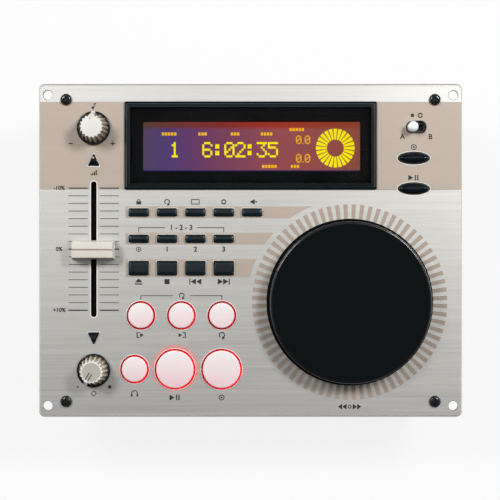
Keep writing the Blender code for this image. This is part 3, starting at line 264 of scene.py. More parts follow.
@dataclass(frozen=True)
class BrushedSheet(Finish):
    """Metal sheet brushed along X, bare or under a printed band of colour."""

    colour: Colour
    metallic: float = 1.0
    roughness: float = 0.42
    streak: float = 0.16
    depth: float = 0.012 * MM
    halo_place: Point = (0.0, 0.0)
    halo_radii: Point = (0.0, 0.0)

    def halo(self, graph: MaterialGraph) -> Value:
        """Return how much red light of a lit button falls on the sheet, most to its rear."""
        x, y, _ = graph.parts(graph.place())
        across, along = x - self.halo_place[0], y - self.halo_place[1]
        reach = graph.maths("SQRT", across * across + along * along)
        near = 1.0 - reach.smooth(*self.halo_radii)
        side = graph.maths("COSINE", graph.maths("ARCTAN2", along, across) - 1.25) * 0.5 + 0.5
        return near * near * (0.25 + side * 0.75)

    def build(self) -> bpy.types.Material:
        """Return the brushed material."""
        graph = self.graph()
        fine = graph.noise(1.0, 3.0, (30.0, 4200.0, 30.0))
        broad = graph.noise(1.0, 2.0, (6.0, 620.0, 6.0))
        cloud = graph.noise(14.0, 2.0)
        lines = fine * 0.6 + broad * 0.4
        level = 1.0 - self.streak * 0.5 + lines * self.streak + (cloud - 0.5) * 0.05
        tint, glow = self.colour, {}
        # The lit button's red glow on the sheet is painted: it tints the colour and adds emission.
        if self.halo_radii[1]:
            halo = self.halo(graph)
            tint = graph.mix(halo, self.colour, (self.colour[0], 0.32, 0.3))
            glow = {"Emission_Color": graph.shade((1.0, 0.09, 0.08), halo),
                    "Emission_Strength": 0.42}
        return graph.finish(
            Base_Color=graph.shade(tint, level),
            Metallic=self.metallic,
            Roughness=self.roughness + (fine - 0.5) * 0.18,
            Normal=graph.bump(fine, self.depth), **glow)


@dataclass(frozen=True)
class PowderCoat(Finish):
    """Painted metal with a fine orange peel and worn high spots."""

    colour: Colour
    roughness: float = 0.5

    def build(self) -> bpy.types.Material:
        """Return the powder-coated material."""
        graph = self.graph()
        peel = graph.noise(1800.0, 2.0)
        cloud = graph.noise(24.0, 3.0)
        return graph.finish(
            Base_Color=graph.shade(self.colour, 0.85 + peel * 0.2 + cloud * 0.1),
            Roughness=self.roughness + (cloud - 0.5) * 0.14,
            Normal=graph.bump(peel, 0.05 * MM))


@dataclass(frozen=True)
class Moulding(Finish):
    """Moulded plastic or rubber with a spark-eroded grain and faint handling marks."""

    colour: Colour
    roughness: float = 0.45
    grain: float = 2600.0
    depth: float = 0.012 * MM
    coat: float = 0.0
    shine: float = 0.5

    def build(self) -> bpy.types.Material:
        """Return the moulded material."""
        graph = self.graph()
        grain = graph.noise(self.grain, 2.0)
        wear = graph.noise(90.0, 4.0, roughness=0.6)
        return graph.finish(
            Base_Color=graph.shade(self.colour, 0.93 + grain * 0.06 + wear * 0.08),
            Roughness=self.roughness + (wear - 0.5) * 0.2,
            Coat_Weight=self.coat,
            Coat_Roughness=0.08,
            Specular_IOR_Level=self.shine,
            Normal=graph.bump(grain, self.depth))


@dataclass(frozen=True)
class Plating(Finish):
    """Plated or polished metal with fine scratches."""

    colour: Colour
    roughness: float = 0.25
    metallic: float = 1.0

    def build(self) -> bpy.types.Material:
        """Return the plated material."""
        graph = self.graph()
        scratches = graph.noise(1.0, 3.0, (3600.0, 500.0, 500.0))
        stain = graph.noise(160.0, 3.0)
        return graph.finish(
            Base_Color=graph.shade(self.colour, 0.9 + stain * 0.16),
            Metallic=self.metallic,
            Roughness=self.roughness + (stain - 0.4) * 0.14,
            Normal=graph.bump(scratches, 0.002 * MM))


@dataclass(frozen=True)
class PrintInk(Finish):
    """Screen-printed ink, a little uneven where it lies over the brushing."""

    colour: Colour
    roughness: float = 0.55

    def build(self) -> bpy.types.Material:
        """Return the ink."""
        graph = self.graph()
        streak = graph.noise(1.0, 2.0, (60.0, 4200.0, 60.0))
        return graph.finish(
            Base_Color=graph.shade(self.colour, 0.8 + streak * 0.4),
            Roughness=self.roughness + (streak - 0.5) * 0.1,
            Normal=graph.bump(streak, 0.004 * MM))


@dataclass(frozen=True)
class LitCap(Finish):
    """A translucent white button cap lit red from below; its paler rear and paler rim are painted
    light.
    """

    centre: Point
    radius: float
    pale: Colour = (0.82, 0.78, 0.78)
    warm: Colour = (0.76, 0.55, 0.59)
    strength: float = 0.1

    def build(self) -> bpy.types.Material:
        """Return the cap's material."""
        graph = self.graph()
        x, y, _ = graph.parts(graph.place())
        across = (x - self.centre[0]) / self.radius
        along = (y - self.centre[1]) / self.radius
        reach = graph.maths("SQRT", across * across + along * along)
        # Paler to the rear and warmer to the front: painted light over the LED's red glow.
        low = (0.45 - along * 0.45 + (graph.noise(120.0, 2.0) - 0.5) * 0.25)
        # A paler rim: painted highlight on the cap's rounded edge.
        rim = reach.smooth(0.86, 0.95)
        tint = graph.mix(low, self.pale, self.warm)
        colour = graph.mix(rim, tint, (0.92, 0.88, 0.88))
        return graph.finish(
            Base_Color=colour,
            Roughness=0.36 + (graph.noise(300.0, 2.0) - 0.5) * 0.08,
            Emission_Color=graph.shade(tint, 1.0 - rim * 0.4),
            Emission_Strength=self.strength,
            Coat_Weight=0.25,
            Coat_Roughness=0.12)


@dataclass(frozen=True)
class GlowRing(Finish):
    """Red light that leaks round a lit cap; its strength round the ring, strongest on one side, is
    painted light and shade.
    """

    centre: Point
    strength: float
    low: float = 0.25
    turn: float = -0.7

    def build(self) -> bpy.types.Material:
        """Return the glowing material."""
        graph = self.graph()
        x, y, _ = graph.parts(graph.place())
        # Brighter on one side of the ring, darker on the other: painted light and shade.
        angle = graph.maths("ARCTAN2", y - self.centre[1], x - self.centre[0])
        side = graph.maths("COSINE", angle - self.turn) * 0.5 + 0.5
        level = self.low + side * (1.0 - self.low)
        return graph.finish(
            Base_Color=(0.3, 0.004, 0.01),
            Roughness=0.5,
            Specular_IOR_Level=0.06,
            Emission_Color=graph.shade((1.0, 0.0008, 0.006), level),
            Emission_Strength=self.strength)


@dataclass(frozen=True)
class BackLight(Finish):
    """The display's lit background: purple at the left, mauve at the right, red above."""

    left: float
    right: float
    front: float
    rear: float

    def build(self) -> bpy.types.Material:
        """Return the glowing background."""
        graph = self.graph()
        x, y, _ = graph.parts(graph.place())
        across = (x - self.left) / (self.right - self.left)
        up = (y - self.front) / (self.rear - self.front)
        body = graph.node("ShaderNodeValToRGB", {"stops": (
            (0.0, (0.085, 0.055, 0.12)), (0.12, (0.085, 0.042, 0.17)),
            (0.3, (0.16, 0.045, 0.115)), (0.6, (0.29, 0.07, 0.08)),
            (0.85, (0.29, 0.07, 0.06)), (1.0, (0.25, 0.07, 0.04)))}, {0: across})
        warm = graph.node("ShaderNodeValToRGB", {"stops": (
            (0.0, (0.09, 0.045, 0.03)), (0.35, (0.23, 0.022, 0.014)),
            (0.65, (0.34, 0.03, 0.012)), (1.0, (0.25, 0.045, 0.02)))}, {0: across})
        glow = graph.mix(up.smooth(0.83, 0.93), body, warm)
        foot = graph.mix(up.smooth(0.022, 0.03), (0.001, 0.008, 0.065), glow)
        cells = graph.noise(1.0, 1.0, (900.0, 900.0, 1.0))
        return graph.finish(
            Base_Color=(0.004, 0.004, 0.004),
            Roughness=0.5,
            Specular_IOR_Level=0.0,
            Emission_Color=graph.shade(foot, 0.92 + cells * 0.16),
            Emission_Strength=1.0)


@dataclass(frozen=True)
class LitSegment(Finish):
    """A lit figure on the display."""

    colour: Colour
    strength: float = 1.0

    def build(self) -> bpy.types.Material:
        """Return the glowing figure's material."""
        graph = self.graph()
        flicker = graph.noise(700.0, 1.0)
        return graph.finish(
            Base_Color=(0.01, 0.01, 0.005),
            Roughness=0.5,
            Specular_IOR_Level=0.0,
            Emission_Color=graph.shade(self.colour, 0.9 + flicker * 0.2),
            Emission_Strength=self.strength)


@dataclass(frozen=True)
class SmokedWindow(Finish):
    """A clear acrylic window."""

    def build(self) -> bpy.types.Material:
        """Return the window's material."""
        graph = self.graph()
        wipe = graph.noise(40.0, 3.0)
        return graph.finish(
            Base_Color=(0.93, 0.93, 0.95),
            Roughness=0.02 + wipe * 0.05,
            Transmission_Weight=1.0,
            IOR=1.12)


@dataclass(frozen=True)
class SolderMask(Finish):
    """A green circuit board with copper tracks under its mask."""

    colour: Colour = (0.012, 0.11, 0.04)
    track: Colour = (0.05, 0.24, 0.08)

    def build(self) -> bpy.types.Material:
        """Return the circuit board's material."""
        graph = self.graph()
        x, y, _ = graph.parts(graph.place())
        bend = graph.noise(60.0, 1.0) * 6.0
        waves = graph.maths("SINE", (x + y * 0.3) * 1500.0 + bend * 4.0)
        tracks = waves.smooth(0.3, 0.5) * graph.noise(110.0, 0.0).smooth(0.45, 0.5)
        return graph.finish(
            Base_Color=graph.mix(tracks, self.colour, self.track),
            Roughness=0.35 + tracks * 0.1,
            Normal=graph.bump(tracks, 0.03 * MM))


@dataclass(frozen=True)
class FlatCable(Finish):
    """A grey ribbon cable with its wires side by side along X."""

    pitch: float = 1.27 * MM

    def build(self) -> bpy.types.Material:
        """Return the cable's material."""
        graph = self.graph()
        x, _, _ = graph.parts(graph.place())
        wires = graph.maths("SINE", x * (math.tau / self.pitch)) * 0.5 + 0.5
        return graph.finish(
            Base_Color=graph.mix(wires, (0.22, 0.22, 0.24), (0.45, 0.45, 0.47)),
            Roughness=0.5 + wires * 0.1,
            Normal=graph.bump(wires, 0.2 * MM))


class Slot(Enum):
    """The record's material slots; each new piece names one, which the script doesn't use."""

    PLATE = "plate"
    CASE = "case"
    STEEL = "steel"
    SCREW = "screw"
    RUBBER = "rubber"
    BEZEL = "bezel"
    WINDOW = "window"
    DISPLAY = "display"
    BLACK = "black_part"
    BUTTON = "button"
    GLOSS = "gloss_button"
    LIT = "lit_button"
    KNOB = "knob"
    CAP = "fader_cap"
    POLISHED = "polished"
    WHEEL = "wheel"


SILVER = BrushedSheet("brushed_silver", (0.64, 0.63, 0.6), 1.0, 0.46, 0.42)
BEIGE_BAND = BrushedSheet("beige_print", (0.48, 0.4, 0.33), 0.2, 0.5, 0.16)
BEIGE_TICK = BrushedSheet("tick_print", (0.42, 0.335, 0.275), 0.25, 0.5, 0.14)
BLACK_INK = PrintInk("black_ink", (0.012, 0.012, 0.013))
GREY_INK = PrintInk("grey_ink", (0.12, 0.115, 0.11))
CASE_PAINT = PowderCoat("case_powder_coat", (0.028, 0.028, 0.03))
ZINC = Plating("zinc_plating", (0.55, 0.55, 0.54), 0.35)
BLACK_SCREW = Plating("black_screw_plating", (0.03, 0.033, 0.038), 0.2, 0.6)
GOLD = Plating("gold_contact", (0.83, 0.6, 0.25), 0.2)
CHROME = Plating("satin_chrome", (0.95, 0.95, 0.94), 0.42, 0.35)
WHEEL_RIM = Moulding("wheel_rim", (0.002, 0.003, 0.0045), 0.24, 3200.0, 0.001 * MM, 0.5, 0.4)
# Pale rings at the edges of the holes: painted highlight.
EDGE_HIGHLIGHT = Plating("bare_edge", (0.93, 0.91, 0.85), 0.5, 0.2)
FOOT_RUBBER = Moulding("foot_rubber", (0.022, 0.022, 0.023), 0.8, 1500.0, 0.03 * MM)
GLOSS_BLACK = Moulding("gloss_black", (0.003, 0.006, 0.009), 0.14, 700.0, 0.001 * MM, 0.4, 0.25)
# A bluish colour for the strip on the bezel's bevel: painted highlight.
BEZEL_HIGHLIGHT = Moulding("bezel_bevel", (0.06, 0.085, 0.1), 0.3, 900.0, 0.002 * MM, 0.3)
MASK_BLACK = Moulding("window_mask", (0.0025, 0.003, 0.0032), 0.6, 700.0, 0.002 * MM, shine=0.03)
SATIN_BLACK = Moulding("satin_black", (0.006, 0.0125, 0.016), 0.32, 1900.0, 0.004 * MM, 0.1, 0.3)
DULL_BLACK = Moulding("dull_black", (0.016, 0.016, 0.018), 0.6, 1900.0, 0.01 * MM)
WHEEL_BLACK = Moulding("wheel_black", (0.0058, 0.0072, 0.0078), 0.6, 3200.0, 0.01 * MM, shine=0.0)
# The knob's cream plastic, darkened for its fluted sides: painted shade.
KNOB_SHADED_CREAM = Moulding("knob_beige", (0.36, 0.27, 0.17), 0.3, 2400.0, 0.004 * MM, 0.9)
KNOB_PEARL = Moulding("knob_pearl", (0.47, 0.445, 0.395), 0.35, 2400.0, 0.008 * MM)
KNOB_CREAM = Moulding("knob_cream", (0.77, 0.74, 0.7), 0.42, 2400.0, 0.008 * MM)
CAP_CREAM = Moulding("cap_cream", (0.7, 0.665, 0.585), 0.42, 2400.0, 0.01 * MM)
# Brown for the floor of the cap's groove: painted shade.
CAP_GROOVE_SHADE = Moulding("cap_groove_line", (0.3, 0.22, 0.15), 0.5)
# Brown marks on the knobs' tops: painted shade of grooves and a notch.
KNOB_MARK_SHADE = Moulding("line_brown", (0.09, 0.06, 0.045), 0.5)
ACETAL = Moulding("acetal", (0.72, 0.7, 0.64), 0.4)
BOARD_GREEN = SolderMask("solder_mask")
RIBBON_GREY = FlatCable("ribbon_grey")
YELLOW_FIGURE = LitSegment("yellow_figure", (1.0, 0.83, 0.0))
AMBER_FIGURE = LitSegment("amber_figure", (0.95, 0.5, 0.0))
CLEAR_WINDOW = SmokedWindow("clear_window")


# Outlines, anticlockwise from above


def circle(radius: float, sides: int, start: float = 0.0) -> Points:
    """Return the points of a regular polygon round the origin."""
    angles = [start + math.tau * index / sides for index in range(sides)]
    return [(radius * math.cos(angle), radius * math.sin(angle)) for angle in angles]


def arc(radius: float, start: float, end: float, steps: int) -> Points:
    """Return points on an arc round the origin, its ends included."""
    angles = [start + (end - start) * step / steps for step in range(steps + 1)]
    return [(radius * math.cos(angle), radius * math.sin(angle)) for angle in angles]


def rounded(width: float, depth: float, radius: float, steps: int = 6) -> Points:
    """Return a rectangle with round corners, centred on the origin."""
    points = []
    for corner, (side_x, side_y) in enumerate(((1, 1), (-1, 1), (-1, -1), (1, -1))):
        start = math.pi / 2 * corner
        turn = arc(radius, start, start + math.pi / 2, steps)
        points += shifted(turn, side_x * (width / 2 - radius), side_y * (depth / 2 - radius))
    return points


def fluted(radius: float, depth: float, flutes: int, sides: int) -> Points:
    """Return a circle cut by narrow flutes between round lobes."""
    points = []
    for index in range(sides):
        angle = math.tau * index / sides
        reach = radius - depth * (1 - abs(math.cos(angle * flutes / 2)))
        points.append((reach * math.cos(angle), reach * math.sin(angle)))
    return points


def shifted(points: Points, x: float, y: float) -> Points:
    """Return the points moved by x and y."""
    return [(point_x + x, point_y + y) for point_x, point_y in points]


def turned(points: Points, angle: float) -> Points:
    """Return the points turned round the origin."""
    cos, sin = math.cos(angle), math.sin(angle)
    return [(x * cos - y * sin, x * sin + y * cos) for x, y in points]


def round_outline(radius: float, x: float, y: float, sides: int = 64) -> Outline:
    """Return an outline of a circle, as a function of how much it grows."""
    return lambda growth: shifted(circle(radius + growth, sides), x, y)


def oval_outline(length: float, width: float, x: float, y: float, sides: int = 64) -> Outline:
    """Return an outline of an ellipse along X, as a function of how much it grows."""
    def outline(growth: float) -> Points:
        """Return the grown ellipse."""
        across, along = length / 2 + growth, width / 2 + growth
        return shifted([(across * u, along * v) for u, v in circle(1.0, sides)], x, y)
    return outline


def grown(outline: Outline, width: float) -> Outline:
    """Return an outline that is larger by a width."""
    return lambda growth: outline(growth + width)


def box_outline(width: float, depth: float, radius: float, x: float, y: float,
                steps: int = 6) -> Outline:
    """Return an outline of a rounded box, as a function of how much it grows."""
    return lambda growth: shifted(
        rounded(width + growth * 2, depth + growth * 2, max(radius + growth, SHARP_RADIUS),
                steps), x, y)


# Solids


def level(points: Points, height: float) -> list[Vector]:
    """Return the points at one height."""
    return [Vector((x, y, height)) for x, y in points]


def loft(rings: Sequence[Sequence[Vector]], ring_shaped: bool = False) -> bmesh.types.BMesh:
    """Return a closed mesh through rings of as many points each.

    Args:
        rings: the rings in turn.
        ring_shaped: whether the last ring joins the first, instead of both being capped.
    """
    bm = bmesh.new()
    rows = [[bm.verts.new(point) for point in ring] for ring in rings]
    pairs = zip(rows, rows[1:] + rows[:1] if ring_shaped else rows[1:])
    for upper, lower in pairs:
        for index, point in enumerate(upper):
            after = (index + 1) % len(upper)
            bm.faces.new((point, lower[index], lower[after], upper[after]))
    if not ring_shaped:
        bm.faces.new(rows[0])
        bm.faces.new(reversed(rows[-1]))
    bmesh.ops.recalc_face_normals(bm, faces=bm.faces)
    return bm


def prism(points: Points, low: float, high: float) -> bmesh.types.BMesh:
    """Return a straight solid over the points."""
    return loft([level(points, high), level(points, low)])


def lathe(profile: Points, sides: int = 96, ring_shaped: bool = False) -> bmesh.types.BMesh:
    """Return a solid of revolution; the profile is (radius, height) in turn."""
    return loft([level(circle(radius, sides), height) for radius, height in profile], ring_shaped)


def round_shoulder(radius: float, top: float, fillet: float, steps: int = 6) -> Points:
    """Return the rounded upper edge of a turned profile, from its top face outwards."""
    return [(radius - fillet + across, top - fillet + up)
            for across, up in arc(fillet, math.pi / 2, 0.0, steps)]


def round_slab(outline: Outline, low: float, high: float, fillet: float,
               steps: int = 4) -> bmesh.types.BMesh:
    """Return a solid over an outline whose upper edge is rounded."""
    rings = [level(outline(across - fillet), high - fillet + up)
             for across, up in arc(fillet, math.pi / 2, 0.0, steps)]
    return loft([*rings, level(outline(0.0), low)])


def pierced_sheet(outer: Outline, holes: Iterable[Outline], low: float, high: float,
                  edge: float = 0.0, hole_edge: float = 0.0) -> bmesh.types.BMesh:
    """Return a flat sheet with holes, its outer and inner upper edges chamfered."""
    bm = bmesh.new()
    rims: dict[bool, list[bmesh.types.BMEdge]] = {True: [], False: []}
    for outline, way, chamfer in ((outer, -1.0, edge), *((hole, 1.0, hole_edge) for hole in holes)):
        sections = [(outline(0.0), high - chamfer), (outline(0.0), low)]
        if chamfer:
            sections.insert(0, (outline(way * chamfer), high))
        rings = [[bm.verts.new((x, y, z)) for x, y in points] for points, z in sections]
        for upper, lower in zip(rings, rings[1:]):
            for index, point in enumerate(upper):
                after = (index + 1) % len(upper)
                bm.faces.new((point, lower[index], lower[after], upper[after]))
        for is_top, ring in ((True, rings[0]), (False, rings[-1])):
            for index, point in enumerate(ring):
                rims[is_top].append(bm.edges.get((point, ring[index - 1])))
    for edges in rims.values():
        bmesh.ops.triangle_fill(bm, use_beauty=True, use_dissolve=False, edges=edges)
    bmesh.ops.recalc_face_normals(bm, faces=bm.faces)
    return bm


def moved(bm: bmesh.types.BMesh, x: float, y: float, z: float = 0.0) -> bmesh.types.BMesh:
    """Move a mesh and return it."""
    bmesh.ops.translate(bm, verts=bm.verts, vec=(x, y, z))
    return bm


def spun(bm: bmesh.types.BMesh, angle: float, axis: str = "Z") -> bmesh.types.BMesh:
    """Turn a mesh round an axis through the origin and return it."""
    bmesh.ops.rotate(bm, verts=bm.verts, cent=(0, 0, 0), matrix=Matrix.Rotation(angle, 3, axis))
    return bm


def plain_mesh(name: str, bm: bmesh.types.BMesh) -> bpy.types.Mesh:
    """Return a plain mesh made from an editable one, which is freed."""
    mesh = bpy.data.meshes.new(name)
    bm.to_mesh(mesh)
    bm.free()
    return mesh


def joined(parts: Iterable[bmesh.types.BMesh]) -> bmesh.types.BMesh:
    """Return one editable mesh that holds the given ones."""
    whole = bmesh.new()
    for bm in parts:
        mesh = plain_mesh("part", bm)
        whole.from_mesh(mesh)
        bpy.data.meshes.remove(mesh)
    return whole


def linked(name: str, data: bpy.types.ID) -> bpy.types.Object:
    """Return a new object in the scene that carries the data."""
    carrier = bpy.data.objects.new(name, data)
    bpy.context.scene.collection.objects.link(carrier)
    return carrier


def evaluated(carrier: bpy.types.Object) -> bpy.types.Mesh:
    """Return an object's mesh with its modifiers applied, and take them off it."""
    bpy.context.view_layer.update()
    graph = bpy.context.evaluated_depsgraph_get()
    mesh = bpy.data.meshes.new_from_object(carrier.evaluated_get(graph))
    carrier.modifiers.clear()
    return mesh


def discard(*carriers: bpy.types.Object) -> None:
    """Remove objects and the data that they carry."""
    bpy.data.batch_remove([item for carrier in carriers for item in (carrier, carrier.data)])


def editable(mesh: bpy.types.Mesh) -> bmesh.types.BMesh:
    """Return an editable mesh made from a plain one, which is removed."""
    bm = bmesh.new()
    bm.from_mesh(mesh)
    bpy.data.meshes.remove(mesh)
    return bm


def flat_text(words: str, size: float, low: float, high: float) -> bmesh.types.BMesh:
    """Return plain figures or a sign as raised print, centred on the origin."""
    curve = bpy.data.curves.new("figures", "FONT")
    curve.body = words
    curve.size = size
    curve.align_x = "CENTER"
    curve.align_y = "CENTER"
    curve.offset = size * 0.03
    curve.extrude = (high - low) / 2
    carrier = linked("figures", curve)
    bm = editable(evaluated(carrier))
    discard(carrier)
    bmesh.ops.remove_doubles(bm, verts=bm.verts, dist=size * 0.002)
    return moved(bm, 0.0, 0.0, (low + high) / 2)


# Geometry Nodes


class RepeatGraph(NodeGraph):
    """A Geometry Nodes tree with named inputs that makes what repeats."""

    def __init__(self, name: str) -> None:
        """Make the empty tree with its geometry sockets."""
        self.group = bpy.data.node_groups.new(name, "GeometryNodeTree")
        super().__init__(self.group)
        for way in ("INPUT", "OUTPUT"):
            self.group.interface.new_socket("Geometry", in_out=way,
                                            socket_type="NodeSocketGeometry")
        self.entry = self.tree.nodes.new("NodeGroupInput")
        self.carrier = Value(self, self.entry.outputs["Geometry"])
        self.lay_out()

    def lay_out(self) -> None:
        """Add the tree's nodes."""
        raise NotImplementedError

    def size(self, name: str, kind: str = "NodeSocketFloat") -> Value:
        """Add a named input and return it."""
        self.group.interface.new_socket(name, in_out="INPUT", socket_type=kind)
        return Value(self, self.entry.outputs[name])

    def close(self, geometry: Value) -> None:
        """End the tree in Realize Instances and Set Material."""
        whole = self.node("GeometryNodeRealizeInstances", inputs={0: geometry})
        dressed = self.node("GeometryNodeSetMaterial", inputs={
            "Geometry": whole, "Material": self.size("Material", "NodeSocketMaterial")})
        self.node("NodeGroupOutput", inputs={"Geometry": dressed})

    def grow(self, material: bpy.types.Material, sizes: Mapping[str, Any],
             points: Iterable[Sequence[float]] = ()) -> bpy.types.Mesh:
        """Run the tree and return its result as a plain mesh.

        Args:
            material: what the result is dressed in.
            sizes: a value for each named input.
            points: the places that the tree repeats at, if it takes any.
        """
        mesh = bpy.data.meshes.new("places")
        mesh.from_pydata([tuple(point) for point in points], [], [])
        carrier = linked("places", mesh)
        modifier = carrier.modifiers.new("repeat", "NODES")
        modifier.node_group = self.group
        identifiers = {item.name: item.identifier for item in self.group.interface.items_tree
                       if item.in_out == "INPUT"}
        for name, value in {**sizes, "Material": material}.items():
            modifier[identifiers[name]] = value
        result = evaluated(carrier)
        discard(carrier)
        return result


class BarsRound(RepeatGraph):
    """Tapered bars round a circle, such as a scale's ticks or a display's segments."""

    def lay_out(self) -> None:
        """Lay unit blocks along a line, then wrap the line round the circle."""
        count = self.size("Count", "NodeSocketInt")
        inner = self.size("Inner Radius")
        outer = self.size("Outer Radius")
        fill = self.size("Fill")
        start = self.size("Start")
        low = self.size("Low")
        high = self.size("High")
        line = self.node("GeometryNodeMeshLine", inputs={
            "Count": count, "Offset": (0.0, 1.0, 0.0)})
        block = self.node("GeometryNodeMeshCube", inputs={
            "Size": self.vector(1.0, fill, 1.0), "Vertices Y": 5})
        blocks = self.node("GeometryNodeInstanceOnPoints", inputs={
            "Points": line, "Instance": block})
        whole = self.node("GeometryNodeRealizeInstances", inputs={0: blocks})
        x, y, z = self.parts(self.node("GeometryNodeInputPosition"))
        angle = y / count * math.tau + start
        reach = inner + (outer - inner) * (x + 0.5)
        height = low + (high - low) * (z + 0.5)
        wrapped = self.vector(reach * self.maths("COSINE", angle),
                              reach * self.maths("SINE", angle), height)
        self.close(self.node("GeometryNodeSetPosition", inputs={
            "Geometry": whole, "Position": wrapped}))


class BoxesAtPlaces(RepeatGraph):
    """Equal boxes at the given places, such as a scale's marks or a display's dots."""

    def lay_out(self) -> None:
        """Put a box of the named sizes on each place."""
        size = self.vector(self.size("Width"), self.size("Depth"), self.size("Height"))
        box = self.node("GeometryNodeMeshCube", inputs={"Size": size})
        self.close(self.node("GeometryNodeInstanceOnPoints", inputs={
            "Points": self.carrier, "Instance": box}))


class CopiesAtPlaces(RepeatGraph):
    """Copies of one shape at the given places, such as screws and feet."""

    def lay_out(self) -> None:
        """Put a copy of the pattern object on each place."""
        pattern = self.node("GeometryNodeObjectInfo", {"transform_space": "ORIGINAL"}, {
            "Object": self.size("Pattern", "NodeSocketObject")}, "Geometry")
        self.close(self.node("GeometryNodeInstanceOnPoints", inputs={
            "Points": self.carrier, "Instance": pattern}))


class FlutedCone(RepeatGraph):
    """A cone whose side is cut by narrow flutes between round lobes."""

    def lay_out(self) -> None:
        """Draw the cone's points in where a flute runs."""
        flutes = self.size("Flutes")
        depth = self.size("Flute Depth")
        cone = self.node("GeometryNodeMeshCone", {"fill_type": "NGON"}, {
            "Vertices": self.size("Sides", "NodeSocketInt"), "Side Segments": 8,
            "Radius Top": self.size("Top Radius"), "Radius Bottom": self.size("Foot Radius"),
            "Depth": self.size("Height")})
        x, y, z = self.parts(self.node("GeometryNodeInputPosition"))
        angle = self.maths("ARCTAN2", y, x)
        reach = self.maths("SQRT", x * x + y * y)
        notch = 1.0 - abs(self.maths("COSINE", angle * flutes * 0.5))
        share = (reach - notch * depth) / reach
        drawn = self.vector(x * share, y * share, z + self.size("Low"))
        self.close(self.node("GeometryNodeSetPosition", inputs={
            "Geometry": cone, "Position": drawn}))


# Making pieces


@dataclass
class Workshop:
    """Turns meshes into finished pieces, with one material for each finish."""

    materials: dict[Finish, bpy.types.Material] = field(default_factory=dict)
    trees: dict[type[RepeatGraph], RepeatGraph] = field(default_factory=dict)

    def material(self, finish: Finish) -> bpy.types.Material:
        """Return the finish's material, made once."""
        if finish not in self.materials:
            self.materials[finish] = finish.build()
        return self.materials[finish]

    def tree(self, kind: type[RepeatGraph]) -> RepeatGraph:
        """Return the Geometry Nodes tree of one kind, made once."""
        if kind not in self.trees:
            self.trees[kind] = kind(kind.__name__)
        return self.trees[kind]

    def make(self, name: str, shape: bmesh.types.BMesh | bpy.types.Mesh, finish: Finish,
             body: str, slot: Slot, replaces: Sequence[str] = ()) -> bpy.types.Object:
        """Make a finished piece.

        Args:
            name: the piece's name.
            shape: its mesh, in place.
            finish: what it is dressed in.
            body: the CAD body that it rides on.
            slot: the record's material slot for the piece; not used.
            replaces: the CAD nodes that it stands for.

        Returns:
            The piece's object, at the origin.
        """
        mesh = plain_mesh(name, shape) if isinstance(shape, bmesh.types.BMesh) else shape
        mesh.name = name
        mesh.materials.clear()
        mesh.materials.append(self.material(finish))
        mesh.shade_smooth()
        mesh.set_sharp_from_angle(angle=SHARP_ANGLE)
        piece = linked(name, mesh)
        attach(piece, body)
        if replaces:
            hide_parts(*replaces)
        LOG.info("%s: %d faces, on %s, in %s", name, len(mesh.polygons), body, finish.name)
        return piece

    def repeat(self, kind: type[RepeatGraph], finish: Finish, sizes: Mapping[str, Any],
               points: Iterable[Sequence[float]] = (), place: Sequence[float] = (0.0, 0.0, 0.0)
               ) -> bpy.types.Mesh:
        """Return the mesh that a repeating tree grows, moved to its place."""
        mesh = self.tree(kind).grow(self.material(finish), sizes, points)
        mesh.transform(Matrix.Translation(place))
        return mesh

    def copies(self, pattern: bmesh.types.BMesh, finish: Finish,
               points: Iterable[Sequence[float]]) -> bpy.types.Mesh:
        """Return copies of the pattern at the places, as one mesh."""
        carrier = linked("pattern", plain_mesh("pattern", pattern))
        result = self.repeat(CopiesAtPlaces, finish, {"Pattern": carrier}, points)
        discard(carrier)
        return result

    def refinish(self, finish: Finish, *nodes: str) -> None:
        """Give CAD nodes whose shape stays a better material."""
        for node in nodes:
            for slot in frame["nodes"][node].material_slots:
                slot.material = self.material(finish)
            LOG.info("%s: kept, in %s", node, finish.name)


def middle(node: str) -> Vector:
    """Return the middle of a CAD node's box."""
    low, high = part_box(node)
    return (low + high) / 2


def span(node: str) -> Vector:
    """Return the size of a CAD node's box."""
    low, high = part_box(node)
    return high - low


# Printed signs, in units of their height


def bar(left: float, right: float, low: float, high: float) -> Points:
    """Return an upright rectangle between four edges."""
    return [(right, high), (left, high), (left, low), (right, low)]


def arrow(tail: float, tip: float, half: float) -> Points:
    """Return a triangle that points along X from its tail to its tip."""
    side = half if tip > tail else -half
    return [(tail, -side), (tip, 0.0), (tail, side)]


def sweep(inner: float, outer: float, start: float, end: float, x: float = 0.0,
          y: float = 0.0) -> Points:
    """Return part of a ring, its angles in degrees."""
    first, last = math.radians(start), math.radians(end)
    points = arc(outer, first, last, 18) + arc(inner, last, first, 18)
    return shifted(points, x, y)


